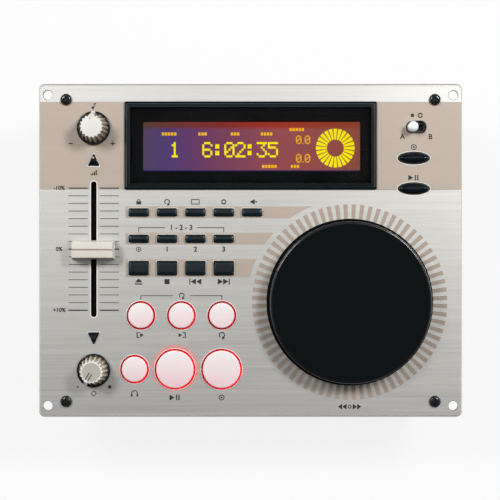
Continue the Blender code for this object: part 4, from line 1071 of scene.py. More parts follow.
class Sign(Enum):
    """Plain signs that stand in for the panel's wording."""

    STOP = (bar(-0.42, 0.42, -0.42, 0.42),)
    PLAY_PAUSE = (arrow(-0.95, -0.1, 0.5), bar(0.16, 0.36, -0.5, 0.5), bar(0.58, 0.78, -0.5, 0.5))
    SKIP_BACK = (bar(-1.0, -0.82, -0.5, 0.5), arrow(0.08, -0.78, 0.5), arrow(0.98, 0.12, 0.5))
    SKIP_FORWARD = (bar(0.82, 1.0, -0.5, 0.5), arrow(-0.08, 0.78, 0.5), arrow(-0.98, -0.12, 0.5))
    REVERSE = (arrow(0.5, -0.5, 0.5), bar(0.6, 0.95, -0.12, 0.12))
    EJECT = (turned(arrow(-0.12, 0.55, 0.62), math.pi / 2), bar(-0.62, 0.62, -0.5, -0.3))
    LOOP = (sweep(0.36, 0.54, -60.0, 235.0), shifted(arrow(-0.3, 0.2, 0.32), 0.36, -0.52))
    RING = (sweep(0.26, 0.5, 8.0, 172.0), sweep(0.26, 0.5, 188.0, 352.0))
    FRAME = (bar(-0.8, 0.8, 0.34, 0.5), bar(-0.8, 0.8, -0.5, -0.34), bar(-0.8, -0.64, -0.3, 0.3),
             bar(0.64, 0.8, -0.3, 0.3))
    LOCK = (bar(-0.45, 0.45, -0.5, 0.1), sweep(0.2, 0.36, 0.0, 180.0, 0.0, 0.14))
    CUE = (sweep(0.36, 0.5, 0.0, 180.0), sweep(0.36, 0.5, 180.0, 360.0),
           sweep(0.0, 0.17, 0.0, 350.0))
    PHONES = (sweep(0.42, 0.58, 0.0, 180.0), bar(-0.62, -0.34, -0.5, -0.02),
              bar(0.34, 0.62, -0.5, -0.02))
    LOOP_IN = (bar(-0.75, -0.57, -0.5, 0.5), bar(-0.53, -0.25, 0.34, 0.5),
               bar(-0.53, -0.25, -0.5, -0.34), arrow(-0.15, 0.5, 0.36))
    LOOP_OUT = (arrow(-0.5, 0.15, 0.36), bar(0.57, 0.75, -0.5, 0.5), bar(0.25, 0.53, 0.34, 0.5),
                bar(0.25, 0.53, -0.5, -0.34))
    MINUS = (bar(-0.42, 0.42, -0.1, 0.1),)
    PLUS = (bar(-0.42, 0.42, -0.1, 0.1), bar(-0.1, 0.1, 0.12, 0.42), bar(-0.1, 0.1, -0.42, -0.12))
    NOTE = (sweep(0.0, 0.24, 0.0, 350.0, -0.16, -0.3), bar(0.0, 0.13, -0.26, 0.5),
            bar(0.15, 0.42, 0.32, 0.5))
    SEARCH = (arrow(-0.42, -0.98, 0.4), arrow(-1.02, -1.58, 0.4), arrow(0.42, 0.98, 0.4),
              arrow(1.02, 1.58, 0.4), sweep(0.14, 0.26, 0.0, 180.0), sweep(0.14, 0.26, 180.0, 360.0))
    SLOPE = (bar(-0.6, -0.36, -0.5, -0.24), bar(-0.28, -0.04, -0.5, -0.02),
             bar(0.04, 0.28, -0.5, 0.22), bar(0.36, 0.6, -0.5, 0.5))
    POINT = (sweep(0.28, 0.4, 20.0, 70.0), sweep(0.28, 0.4, 110.0, 160.0),
             sweep(0.28, 0.4, 200.0, 250.0), sweep(0.28, 0.4, 290.0, 340.0),
             bar(-0.06, 0.06, 0.22, 0.5), bar(-0.06, 0.06, -0.5, -0.22),
             bar(-0.5, -0.22, -0.06, 0.06), bar(0.22, 0.5, -0.06, 0.06))
    SMALL_DOT = (sweep(0.0, 0.16, 0.0, 350.0),)
    LARGE_DOT = (sweep(0.0, 0.36, 0.0, 350.0),)


# Buttons


class ButtonKind(Enum):
    """How a button's cap is shaped."""

    KEY = "key"
    ROUND = "round"
    OVAL = "oval"
    WEDGE = "wedge"


@dataclass(frozen=True)
class Button:
    """A push button: its cap above the faceplate, its flange below it and its stem.

    Its place and size come from its CAD node, whose box reaches to the flange.
    """

    name: str
    kind: ButtonKind
    glow: float = 0.0
    points_up: bool = True
    flange_reach: float = 0.8 * MM
    flange_thickness: float = 1.0 * MM
    gap: float = 0.3 * MM
    key_gap: float = 0.15 * MM
    hole_gap: float = 0.28 * MM
    stem_width: float = 2.4 * MM
    corner_radius: float = 0.5 * MM
    tip_width: float = 0.5 * MM
    bevel: float = 0.35 * MM
    crown: float = 0.75 * MM
    dome_share: float = 0.97
    disc_crown: float = 0.1 * MM
    collar_width: float = 0.66 * MM
    collar_rise: float = 0.55 * MM
    collar_growth: float = 0.12 * MM

    @property
    def node(self) -> str:
        """The button's node, which is also its body."""
        return self.name + "_button"

    @property
    def centre(self) -> Vector:
        """The middle of the button."""
        return middle(self.node)

    @property
    def width(self) -> float:
        """The cap's width."""
        return span(self.node).x - self.flange_reach * 2

    @property
    def depth(self) -> float:
        """The cap's depth."""
        return span(self.node).y - self.flange_reach * 2

    @property
    def top(self) -> float:
        """The height of the cap's top."""
        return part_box(self.node)[1].z

    @property
    def bottom(self) -> float:
        """The height of the stem's lower end."""
        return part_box(self.node)[0].z

    @property
    def flange_top(self) -> float:
        """The height of the flange's upper face, just under the faceplate."""
        return PLATE_UNDERSIDE - self.gap

    @property
    def flange_low(self) -> float:
        """The height of the flange's lower face."""
        return self.flange_top - self.flange_thickness

    def outline(self, sides: int = 72) -> Outline:
        """Return the cap's outline, as a function of how much it grows."""
        x, y = self.centre.x, self.centre.y
        if self.kind is ButtonKind.KEY:
            return box_outline(self.width, self.depth, self.corner_radius, x, y, 4)
        if self.kind is ButtonKind.ROUND:
            return round_outline(self.width / 2, x, y, sides)
        if self.kind is ButtonKind.OVAL:
            return oval_outline(self.width, self.depth, x, y, sides)
        return self.wedge

    def wedge(self, growth: float) -> Points:
        """Return the outline of a triangular cap with blunt tips."""
        half, high, tip = self.width / 2 + growth, self.depth / 2 + growth, self.tip_width
        points = [(tip / 2, high), (-tip / 2, high), (-half, tip - high),
                  (tip / 2 - half, -high), (half - tip / 2, -high), (half, tip - high)]
        if not self.points_up:
            points = [(-x, -y) for x, y in points]
        return shifted(points, self.centre.x, self.centre.y)

    def hole(self) -> Outline:
        """Return the outline of the button's hole in the faceplate."""
        return grown(self.outline(), self.key_gap if self.kind is ButtonKind.KEY
                     else self.hole_gap)

    def stem(self) -> bmesh.types.BMesh:
        """Return the stem below the flange."""
        points = rounded(self.stem_width, self.stem_width, self.bevel, 2)
        return prism(shifted(points, self.centre.x, self.centre.y), self.bottom,
                     self.flange_low + self.bevel)

    def foot(self) -> bmesh.types.BMesh:
        """Return the flange under the faceplate and the stem below it."""
        flange = prism(self.outline()(self.flange_reach), self.flange_low, self.flange_top)
        return joined((flange, self.stem()))

    def crowned_cap(self) -> bmesh.types.BMesh:
        """Return a cap that falls away to the front and to the rear."""
        outline = self.outline()
        half = self.depth / 2
        power = 2 if self.depth < self.width / 2 or self.kind is ButtonKind.WEDGE else 5
        shoulder = self.top - self.crown - self.bevel

        def crowned(growth: float, drop: float) -> list[Vector]:
            """Return a ring drawn over the crown, sunk by the drop."""
            ring = []
            for x, y in outline(growth):
                fall = abs((y - self.centre.y) / half) ** power
                ring.append(Vector((x, y, self.top - self.crown * fall - drop)))
            return ring

        shares = (0.45, 0.3) if self.kind is ButtonKind.WEDGE else (0.97, 0.85, 0.7, 0.55, 0.4, 0.3)
        rings = [crowned(-half * share, 0.0) for share in shares]
        rings += [crowned(across - self.bevel, self.bevel - up)
                  for across, up in arc(self.bevel, math.pi / 2, 0.0, 4)]
        rings += [level(outline(0.0), min(shoulder, self.top - self.crown * 2)),
                  level(outline(0.0), self.flange_top)]
        cap = loft(rings)
        bmesh.ops.remove_doubles(cap, verts=cap.verts, dist=self.bevel * 0.02)
        bmesh.ops.recalc_face_normals(cap, faces=cap.faces)
        return cap

    def domed_cap(self) -> bmesh.types.BMesh:
        """Return a cap that swells to its middle."""
        outline = self.outline()
        swell = self.depth / 2 * self.dome_share
        rings = [level(outline((across - 1) * swell), PLATE_TOP + (self.top - PLATE_TOP) * up)
                 for across, up in arc(1.0, math.pi / 2, 0.0, 10)]
        return loft([*rings, level(outline(0.0), self.flange_top)])

    def round_cap(self) -> bmesh.types.BMesh:
        """Return the lit disc that stands on the collar."""
        radius = self.width / 2 - self.collar_width
        shoulder = round_shoulder(radius, self.top - self.disc_crown, self.bevel * 1.6)
        profile = [(radius * 0.35, self.top), *shoulder, (radius, PLATE_TOP)]
        return moved(lathe(profile), self.centre.x, self.centre.y)

    def collar(self) -> bmesh.types.BMesh:
        """Return the glowing ring round a lit disc, down to its flange."""
        radius = self.width / 2 + self.collar_growth
        rise, low = PLATE_TOP + self.collar_rise, self.flange_low
        inner = radius - self.collar_width * 2
        profile = [(inner, rise), (radius - self.bevel, rise), (radius, rise - self.bevel),
                   (radius, self.flange_top), (radius + self.flange_reach, self.flange_top),
                   (radius + self.flange_reach, low), (inner, low)]
        return moved(lathe(profile, ring_shaped=True), self.centre.x, self.centre.y)


KEY_ROWS = (("tempo_lock", "repeat", "display", "ring_display", "reverse"),
            ("memo", "memory_1", "memory_2", "memory_3"),
            ("open_close", "stop", "skip_back", "skip_forward"))
ROUND_GLOWS = {"loop_start": 0.4, "loop_end": 0.5, "reloop": 0.3, "monitor": 0.75,
               "play_pause": 1.1, "cue": 0.85}
BUTTONS = {
    **{name: Button(name, ButtonKind.KEY) for row in KEY_ROWS for name in row},
    **{name: Button(name, ButtonKind.ROUND, glow) for name, glow in ROUND_GLOWS.items()},
    "player_cue": Button("player_cue", ButtonKind.OVAL),
    "player_play": Button("player_play", ButtonKind.OVAL),
    "pitch_bend_up": Button("pitch_bend_up", ButtonKind.WEDGE),
    "pitch_bend_down": Button("pitch_bend_down", ButtonKind.WEDGE, points_up=False),
}


@dataclass
class ButtonField:
    """All the push buttons."""

    workshop: Workshop

    def build(self) -> None:
        """Make every button's pieces."""
        for button in BUTTONS.values():
            if button.kind is ButtonKind.ROUND:
                self.lit(button)
            else:
                self.plain(button)

    def plain(self, button: Button) -> None:
        """Make a black button in one piece."""
        cap = button.domed_cap() if button.kind is ButtonKind.OVAL else button.crowned_cap()
        is_key = button.kind is ButtonKind.KEY
        self.workshop.make(button.node + "_cap", joined((cap, button.foot())),
                           SATIN_BLACK if is_key else GLOSS_BLACK, button.node,
                           Slot.BUTTON if is_key else Slot.GLOSS, (button.node,))

    def lit(self, button: Button) -> None:
        """Make a lit button: its disc, its glowing collar and its stem."""
        centre = (button.centre.x, button.centre.y)
        disc = LitCap(button.name + "_lit_cap", centre, button.width / 2,
                      warm=(0.8, 0.64 - button.glow * 0.1, 0.67 - button.glow * 0.1))
        self.workshop.make(button.node + "_cap", button.round_cap(), disc, button.node, Slot.LIT,
                           (button.node,))
        self.workshop.make(button.node + "_collar", button.collar(),
                           GlowRing(button.name + "_glow", centre, button.glow), button.node,
                           Slot.LIT)
        radius = button.width / 2 - button.flange_reach
        hub = lathe([(radius, button.flange_low + button.bevel), (radius, button.flange_low)])
        hub = joined((button.stem(), moved(hub, *centre)))
        self.workshop.make(button.node + "_stem", hub, DULL_BLACK, button.node, Slot.BLACK)


# Faceplate

# Each button's sign, its distance to the rear of the button and its share of a sign's height
BUTTON_SIGNS = {
    "tempo_lock": (Sign.LOCK, 5.2 * MM, 1.0), "repeat": (Sign.LOOP, 5.2 * MM, 1.0),
    "display": (Sign.FRAME, 5.2 * MM, 1.0), "ring_display": (Sign.RING, 5.2 * MM, 1.0),
    "reverse": (Sign.REVERSE, 5.2 * MM, 1.0), "memo": (Sign.CUE, -5.3 * MM, 1.0),
    "open_close": (Sign.EJECT, -6.7 * MM, 1.15), "stop": (Sign.STOP, -6.7 * MM, 1.15),
    "skip_back": (Sign.SKIP_BACK, -6.7 * MM, 1.15),
    "skip_forward": (Sign.SKIP_FORWARD, -6.7 * MM, 1.15),
    "loop_start": (Sign.LOOP_IN, -9.7 * MM, 1.1), "loop_end": (Sign.LOOP_OUT, -9.7 * MM, 1.1),
    "reloop": (Sign.LOOP, -9.7 * MM, 1.1), "monitor": (Sign.PHONES, -12.1 * MM, 1.1),
    "play_pause": (Sign.PLAY_PAUSE, -14.0 * MM, 1.1), "cue": (Sign.CUE, -14.0 * MM, 1.1),
    "player_cue": (Sign.CUE, 5.4 * MM, 1.1), "player_play": (Sign.PLAY_PAUSE, 5.4 * MM, 1.1),
}

# Each control's signs: the node they stand round, the sign, its place from there and its share
CONTROL_SIGNS = (
    ("key_pot_body", Sign.NOTE, (0.0, 10.9 * MM), 1.1),
    ("key_pot_body", Sign.MINUS, (-11.4 * MM, -7.6 * MM), 1.0),
    ("key_pot_body", Sign.PLUS, (9.4 * MM, -7.6 * MM), 1.0),
    ("pitch_fader_body", Sign.SLOPE, (0.0, 37.8 * MM), 1.0),
    ("focus_pot_body", Sign.POINT, (0.0, -11.4 * MM), 1.2),
    ("focus_pot_body", Sign.SMALL_DOT, (-7.9 * MM, -8.2 * MM), 1.0),
    ("focus_pot_body", Sign.LARGE_DOT, (7.9 * MM, -8.2 * MM), 1.0),
    ("search_wheel", Sign.SEARCH, (0.0, -51.7 * MM), 1.4),
    ("select_switch_body", Sign.LARGE_DOT, (-1.9 * MM, 5.8 * MM), 1.0),
    ("select_switch_body", Sign.RING, (1.9 * MM, 5.8 * MM), 1.0),
)


@dataclass
class Faceplate:
    """The brushed faceplate, its holes and what is printed on it."""

    workshop: Workshop
    corner_radius: float = 3.0 * MM
    chamfer: float = 0.7 * MM
    hole_chamfer: float = 0.25 * MM
    mount_hole_radius: float = 2.3 * MM
    mount_hole_inset: Point = (4.45 * MM, 5.55 * MM)
    screw_hole_radius: float = 1.8 * MM
    bushing_hole_radius: float = 3.3 * MM
    bearing_hole_radius: float = 6.1 * MM
    fader_slot: Point = (2.85 * MM, 67.1 * MM)
    select_slot: Point = (10.2 * MM, 6.1 * MM)
    bezel_lip: float = 1.6 * MM
    band_rise: float = 0.02 * MM
    tick_rise: float = 0.022 * MM
    edge_rise: float = 0.03 * MM
    ink_rise: float = 0.045 * MM
    slot_edge: float = 0.4 * MM
    bright_edge: float = 0.28 * MM
    key_edge: float = 0.22 * MM
    band_y: Point = (30.0 * MM, 73.4 * MM)
    band_inset: float = 0.5 * MM
    stripe_left: float = -61.9 * MM
    stripe_radius: float = 50.7 * MM
    stripe_half_depths: tuple[float, float, float] = (2.97 * MM, 2.92 * MM, 4.45 * MM)
    tick_count: int = 72
    tick_inner: float = 39.5 * MM
    tick_outer: float = 48.25 * MM
    scale_steps: int = 8
    scale_travel: float = 30.15 * MM
    mark_width: float = 9.5 * MM
    mark_offset: float = 7.7 * MM
    grey_mark_depth: float = 0.42 * MM
    black_mark_depth: float = 0.6 * MM
    ink_line: float = 0.36 * MM
    letter_height: float = 3.5 * MM
    scale_letter_height: float = 2.8 * MM
    scale_letter_offset: float = 17.1 * MM
    select_letter_offset: Point = (6.9 * MM, 4.8 * MM)
    figure_drop: float = 5.3 * MM
    sign_height: float = 2.6 * MM
    memory_rise: float = 5.4 * MM
    memory_leg: float = 2.0 * MM
    memory_gap: Point = (-42.4 * MM, -26.1 * MM)
    loop_rise: float = 9.72 * MM
    loop_leg: float = 1.8 * MM
    loop_gap: Point = (-38.7 * MM, -29.8 * MM)
    loop_sign_rise: float = 9.8 * MM
    loop_sign_x: float = -34.0 * MM
    halo_reach: float = 4.6 * MM

    @property
    def wheel(self) -> Vector:
        """The middle of the search wheel."""
        return middle("search_wheel")

    @property
    def fader(self) -> Vector:
        """The middle of the pitch fader."""
        return middle("pitch_fader_body")

    def build(self) -> None:
        """Make the plate and its print."""
        self.plate()
        self.bright_edges()
        self.bands()
        self.ticks()
        self.fader_scale()
        self.ink()

    def mount_holes(self) -> list[Outline]:
        """Return the bare corner holes."""
        size = span("faceplate")
        x = size.x / 2 - self.mount_hole_inset[0]
        y = size.y / 2 - self.mount_hole_inset[1]
        return [round_outline(self.mount_hole_radius, side_x * x, side_y * y, 40)
                for side_x in (1, -1) for side_y in (1, -1)]

    def slots(self) -> list[Outline]:
        """Return the fader's and the select switch's slots."""
        select = middle("select_switch_body")
        width, length = self.fader_slot
        return [box_outline(width, length, width * 0.49, self.fader.x, self.fader.y),
                box_outline(*self.select_slot, self.select_slot[1] * 0.49, select.x, select.y)]

    def display_hole(self) -> Outline:
        """Return the display's opening."""
        place, size = middle("display_bezel"), span("display_bezel")
        return box_outline(size.x - self.bezel_lip * 2, size.y - self.bezel_lip * 2, 0.2 * MM,
                           place.x, place.y, 2)

    def holes(self) -> list[Outline]:
        """Return every hole in the faceplate."""
        holes = [*self.mount_holes(), *self.slots(), self.display_hole()]
        holes += [button.hole() for button in BUTTONS.values()]
        for corner in CORNERS:
            place = middle("faceplate_screw_" + corner)
            holes.append(round_outline(self.screw_hole_radius, place.x, place.y, 24))
        for knob in ("key", "focus"):
            place = middle(knob + "_pot_body")
            holes.append(round_outline(self.bushing_hole_radius, place.x, place.y, 32))
        holes.append(round_outline(self.bearing_hole_radius, self.wheel.x, self.wheel.y, 48))
        return holes

    def plate(self) -> None:
        """Make the brushed sheet."""
        size = span("faceplate")
        outer = box_outline(size.x, size.y, self.corner_radius, 0.0, 0.0, 10)
        sheet = pierced_sheet(outer, self.holes(), PLATE_TOP - size.z, PLATE_TOP, self.chamfer,
                              self.hole_chamfer)
        lit = BUTTONS["play_pause"]
        radius = lit.width / 2
        finish = replace(SILVER, halo_place=(lit.centre.x, lit.centre.y),
                         halo_radii=(radius, radius + self.halo_reach))
        self.workshop.make("faceplate_sheet", sheet, finish, "case", Slot.PLATE, ("faceplate",))

    def bright_edges(self) -> None:
        """Lay pale rings round the buttons' holes and the fader's slot: a painted highlight on their
        edges.
        """
        rims = [(self.slots()[0], self.slot_edge)]
        rims += [(button.hole(), self.key_edge if button.kind is ButtonKind.KEY
                  else self.bright_edge) for button in BUTTONS.values()]
        parts = [pierced_sheet(grown(rim, width), [rim], PLATE_TOP - self.edge_rise,
                               PLATE_TOP + self.edge_rise) for rim, width in rims]
        self.workshop.make("bare_edges", joined(parts), EDGE_HIGHLIGHT, "case", Slot.PLATE)

    def bands(self) -> None:
        """Print the beige band beside the display and the stripes behind the keys."""
        low, high = self.band_y
        width = span("faceplate").x - self.band_inset * 2
        outer = box_outline(width, high - low, 0.0, 0.0, (low + high) / 2, 1)
        chosen = [self.display_hole(), *self.slots()[1:]]
        chosen += [BUTTONS[name].hole() for name in ("player_cue", "player_play", "pitch_bend_up")]
        chosen.append(round_outline(self.bushing_hole_radius, middle("key_pot_body").x,
                                    middle("key_pot_body").y, 32))
        slot_top = self.fader.y + self.fader_slot[1] / 2
        reach = self.fader_slot[0] / 2 + self.hole_chamfer
        outer_cut = self.notched(outer(0.0), self.fader.x, low, slot_top, reach)
        chosen = [grown(hole, self.hole_chamfer) for hole in chosen]
        parts = [pierced_sheet(outer_cut, chosen, PLATE_TOP, PLATE_TOP + self.band_rise)]
        for names, half in zip(KEY_ROWS, self.stripe_half_depths):
            holes = [grown(BUTTONS[name].hole(), self.key_edge) for name in names]
            parts.append(pierced_sheet(self.stripe(BUTTONS[names[0]].centre.y, half), holes,
                                       PLATE_TOP, PLATE_TOP + self.band_rise))
        self.workshop.make("beige_bands", joined(parts), BEIGE_BAND, "case", Slot.PLATE)

    def notched(self, corners: Points, x: float, edge: float, end: float, reach: float) -> Outline:
        """Return a band whose front edge is notched round the end of the fader's slot."""
        top = max(point[1] for point in corners)
        left, right = min(point[0] for point in corners), max(point[0] for point in corners)
        cap = shifted(arc(reach, math.pi, 0.0, 12), x, end - reach + self.hole_chamfer)
        points = [(right, top), (left, top), (left, edge), (x - reach, edge), *cap,
                  (x + reach, edge), (right, edge)]
        return lambda growth: points

    def stripe(self, y: float, half: float) -> Outline:
        """Return a stripe that ends on an arc round the wheel."""
        steps = 10
        right = []
        for step in range(steps + 1):
            height = y - half + half * 2 * step / steps
            reach = math.sqrt(self.stripe_radius ** 2 - (height - self.wheel.y) ** 2)
            right.append((self.wheel.x - reach, height))
        points = [(self.stripe_left, y + half), (self.stripe_left, y - half), *right]
        return lambda growth: points

    def ticks(self) -> None:
        """Print the ticks round the wheel."""
        ring = self.workshop.repeat(BarsRound, BEIGE_TICK, {
            "Count": self.tick_count, "Inner Radius": self.tick_inner,
            "Outer Radius": self.tick_outer, "Fill": 0.52,
            "Start": math.pi / self.tick_count, "Low": PLATE_TOP,
            "High": PLATE_TOP + self.tick_rise}, place=(self.wheel.x, self.wheel.y, 0.0))
        self.workshop.make("wheel_ticks", ring, BEIGE_TICK, "case", Slot.PLATE)

    def fader_scale(self) -> None:
        """Print the marks on both sides of the fader's slot."""
        steps = range(-self.scale_steps, self.scale_steps + 1)
        strong = (-self.scale_steps, 0, self.scale_steps)
        for name, finish, depth, chosen in (
                ("grey_marks", GREY_INK, self.grey_mark_depth,
                 [step for step in steps if step not in strong]),
                ("black_marks", BLACK_INK, self.black_mark_depth, strong)):
            places = [(self.fader.x + side * self.mark_offset,
                       self.fader.y + self.scale_travel * step / self.scale_steps,
                       PLATE_TOP + self.ink_rise / 2)
                      for step in chosen for side in (-1, 1)]
            marks = self.workshop.repeat(BoxesAtPlaces, finish, {
                "Width": self.mark_width, "Depth": depth, "Height": self.ink_rise}, places)
            self.workshop.make("fader_" + name, marks, finish, "case", Slot.PLATE)

    def sign(self, sign: Sign, x: float, y: float, height: float) -> list[bmesh.types.BMesh]:
        """Return a printed sign's parts, centred on a place."""
        return [prism([(px * height + x, py * height + y) for px, py in part], PLATE_TOP,
                      PLATE_TOP + self.ink_rise) for part in sign.value]

    def figures(self, words: str, x: float, y: float, height: float) -> list[bmesh.types.BMesh]:
        """Return printed figures, centred on a place."""
        return [moved(flat_text(words, height, PLATE_TOP, PLATE_TOP + self.ink_rise), x, y)]

    def line(self, start: Point, end: Point) -> bmesh.types.BMesh:
        """Return a printed line along X or Y."""
        half = self.ink_line / 2
        left, right = sorted((start[0], end[0]))
        low, high = sorted((start[1], end[1]))
        return prism(bar(left - half, right + half, low - half, high + half), PLATE_TOP,
                     PLATE_TOP + self.ink_rise)

    def bracket(self, first: str, last: str, rise: float, leg: float, gap: Point
                ) -> list[bmesh.types.BMesh]:
        """Return a line over a row of buttons, with legs at its ends and a gap for a sign."""
        left, right = BUTTONS[first].centre, BUTTONS[last].centre
        y = left.y + rise
        return [self.line((left.x, y), (gap[0], y)), self.line((gap[1], y), (right.x, y)),
                self.line((left.x, y), (left.x, y - leg)),
                self.line((right.x, y), (right.x, y - leg))]

    def ink(self) -> None:
        """Print the black signs, figures and brackets."""
        parts = self.button_signs() + self.control_signs()
        memory_y = BUTTONS["memo"].centre.y + self.memory_rise
        parts += self.bracket("memo", "memory_3", self.memory_rise, self.memory_leg,
                              self.memory_gap)
        parts += self.figures("1 - 2 - 3", sum(self.memory_gap) / 2, memory_y, self.letter_height)
        loop_y = BUTTONS["loop_start"].centre.y + self.loop_sign_rise
        parts += self.bracket("loop_start", "reloop", self.loop_rise, self.loop_leg, self.loop_gap)
        parts += self.sign(Sign.LOOP, self.loop_sign_x, loop_y, self.sign_height)
        self.workshop.make("printed_signs", joined(parts), BLACK_INK, "case", Slot.PLATE)

    def button_signs(self) -> list[bmesh.types.BMesh]:
        """Return the signs and figures beside the buttons."""
        parts = []
        for name, (sign, rise, share) in BUTTON_SIGNS.items():
            place = BUTTONS[name].centre
            parts += self.sign(sign, place.x, place.y + rise, self.sign_height * share)
        for figure in ("1", "2", "3"):
            place = BUTTONS["memory_" + figure].centre
            parts += self.figures(figure, place.x, place.y - self.figure_drop, self.letter_height)
        return parts

    def control_signs(self) -> list[bmesh.types.BMesh]:
        """Return the signs and figures of the knobs, the fader, the wheel and the switch."""
        parts = []
        for node, sign, offset, share in CONTROL_SIGNS:
            place = middle(node)
            x = place.x if node in ("search_wheel", "select_switch_body") else self.fader.x
            parts += self.sign(sign, x + offset[0], place.y + offset[1],
                               self.sign_height * share)
        for figure, share in (("-10%", 1.0), ("0%", 0.0), ("+10%", -1.0)):
            parts += self.figures(figure, self.fader.x - self.scale_letter_offset,
                                  self.fader.y + self.scale_travel * share,
                                  self.scale_letter_height)
        select = middle("select_switch_body")
        across, drop = self.select_letter_offset
        for letter, side in (("A", -1), ("B", 1)):
            parts += self.figures(letter, select.x + side * across, select.y - drop,
                                  self.letter_height)
        return parts


# Rotary knobs


@dataclass
class Knob:
    """A rotary knob: a black skirt, a fluted body darker than its top as painted shade, a flat top
    and a pointer.
    """

    workshop: Workshop
    name: str
    rest_angle: float
    has_lines: bool = False
    skirt_radius: float = 8.3 * MM
    skirt_height: float = 1.4 * MM
    skirt_fillet: float = 0.5 * MM
    nut_room_radius: float = 5.0 * MM
    foot_radius: float = 7.4 * MM
    top_radius: float = 5.65 * MM
    flutes: int = 18
    flute_depth: float = 0.75 * MM
    top_thickness: float = 0.7 * MM
    top_bevel: float = 0.25 * MM
    pointer_width: float = 1.9 * MM
    pointer_rise: float = 0.4 * MM
    pointer_start: float = 0.82
    line_offset: float = 0.72 * MM
    line_width: float = 0.5 * MM
    dot: tuple[float, float, float] = (3.9 * MM, 99.0, 0.33 * MM)
    inlay_share: float = 0.8
    inlay_rise: float = 0.05 * MM
    mark_depth: float = 0.1 * MM
    dot_rise: float = 0.03 * MM
    top_overhang: float = 0.1 * MM
    sides: int = 360

    @property
    def node(self) -> str:
        """The knob's node, which is also its body."""
        return self.name + "_knob"

    def build(self) -> None:
        """Make the knob's pieces and finish its shaft and its potentiometer."""
        centre = middle(self.name + "_pot_body")
        low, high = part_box(self.node)
        top = high.z - self.pointer_rise
        skirt_top = low.z + self.skirt_height
        fillet = round_shoulder(self.skirt_radius, skirt_top, self.skirt_fillet)
        skirt = lathe([(self.nut_room_radius, skirt_top), *fillet, (self.skirt_radius, low.z),
                       (self.nut_room_radius, low.z)], ring_shaped=True)
        self.workshop.make(self.node + "_skirt", moved(skirt, centre.x, centre.y), GLOSS_BLACK,
                           self.node, Slot.BLACK, (self.node,))
        # The fluted body takes a dark copy of the cream: painted shade on its sides.
        height = top - self.top_thickness - skirt_top
        body = self.workshop.repeat(FlutedCone, KNOB_SHADED_CREAM, {
            "Flutes": float(self.flutes), "Flute Depth": self.flute_depth, "Sides": self.sides,
            "Top Radius": self.top_radius + self.top_overhang, "Foot Radius": self.foot_radius,
            "Height": height, "Low": skirt_top}, place=(centre.x, centre.y, 0.0))
        self.workshop.make(self.node + "_body", body, KNOB_SHADED_CREAM, self.node, Slot.KNOB)
        pieces = [("_top", self.cover(top), KNOB_CREAM),
                  ("_pointer", self.pointer(top, skirt_top), KNOB_CREAM)]
        if self.has_lines:
            inlay = prism(circle(self.top_radius * self.inlay_share, 96), top - self.mark_depth,
                          top + self.inlay_rise)
            pieces.append(("_inlay", inlay, KNOB_PEARL))
        # The dark lines or dot are painted shade of the pointer's grooves or notch.
        mark = self.pointer_lines(top) if self.has_lines else self.pointer_dot(top)
        for name, shape, finish in (*pieces, ("_mark", mark, KNOB_MARK_SHADE)):
            self.workshop.make(self.node + name, moved(shape, centre.x, centre.y), finish,
                               self.node, Slot.KNOB)
        self.workshop.refinish(ZINC, self.node + "_shaft", self.name + "_pot_body")

    def cover(self, top: float) -> bmesh.types.BMesh:
        """Return the knob's flat scalloped top."""
        def scalloped(growth: float) -> Points:
            """Return the grown outline."""
            return fluted(self.top_radius + growth, self.flute_depth, self.flutes, self.sides)
        return round_slab(scalloped, top - self.top_thickness, top, self.top_bevel)

    def pointer(self, top: float, skirt_top: float) -> bmesh.types.BMesh:
        """Return the ridge that runs over the top's edge and across the skirt."""
        rise = self.pointer_rise
        start = self.top_radius * self.pointer_start
        outline = [(start, top + rise * 0.5), (self.top_radius, top + rise * 0.5),
                   (self.foot_radius + rise, skirt_top + rise),
                   (self.skirt_radius - rise * 0.3, skirt_top + rise * 0.5),
                   (self.skirt_radius - rise * 0.3, skirt_top - rise),
                   (self.foot_radius - rise * 2, skirt_top - rise),
                   (start, top - rise * 2)]
        ridge = prism(outline, -self.pointer_width / 2, self.pointer_width / 2)
        return spun(spun(ridge, math.pi / 2, "X"), math.radians(self.rest_angle))

    def pointer_lines(self, top: float) -> bmesh.types.BMesh:
        """Return two dark lines beside the pointer: painted shade standing for its grooves."""
        low, high = top - self.pointer_rise, top + self.pointer_rise * 0.35
        half = self.line_width / 2
        lines = [prism(bar(self.top_radius * 0.14, self.top_radius - self.flute_depth * 0.9,
                           side * self.line_offset - half, side * self.line_offset + half),
                       low, high)
                 for side in (-1, 1)]
        return spun(joined(lines), math.radians(self.rest_angle))

    def pointer_dot(self, top: float) -> bmesh.types.BMesh:
        """Return the small dark dot near the edge of the top: painted shade standing for a notch."""
        reach, angle, radius = self.dot
        turn = math.radians(angle)
        return moved(prism(circle(radius, 16), top - self.mark_depth, top + self.dot_rise),
                     reach * math.cos(turn), reach * math.sin(turn))


def tapered_block(profile: Points, half_low: float, half_high: float) -> bmesh.types.BMesh:
    """Return a block along X whose ends lean in as it rises.

    Args:
        profile: its (y, z) outline, seen from its end.
        half_low: half its length at the foot.
        half_high: half its length at the top.
    """
    low, high = min(z for _, z in profile), max(z for _, z in profile)
    rings = []
    for side in (1, -1):
        rings.append([Vector((side * (half_low + (half_high - half_low) * (z - low) / (high - low)),
                              y, z)) for y, z in profile])
    return loft(rings)


def cut(bm: bmesh.types.BMesh, cutter: bmesh.types.BMesh) -> bmesh.types.BMesh:
    """Return the mesh with the cutter taken out of it."""
    body = linked("body", plain_mesh("body", bm))
    tool = linked("cutter", plain_mesh("cutter", cutter))
    modifier = body.modifiers.new("cut", "BOOLEAN")
    modifier.operation = "DIFFERENCE"
    modifier.solver = "EXACT"
    modifier.object = tool
    result = editable(evaluated(body))
    discard(body, tool)
    return result


# Pitch fader, select switch and search wheel


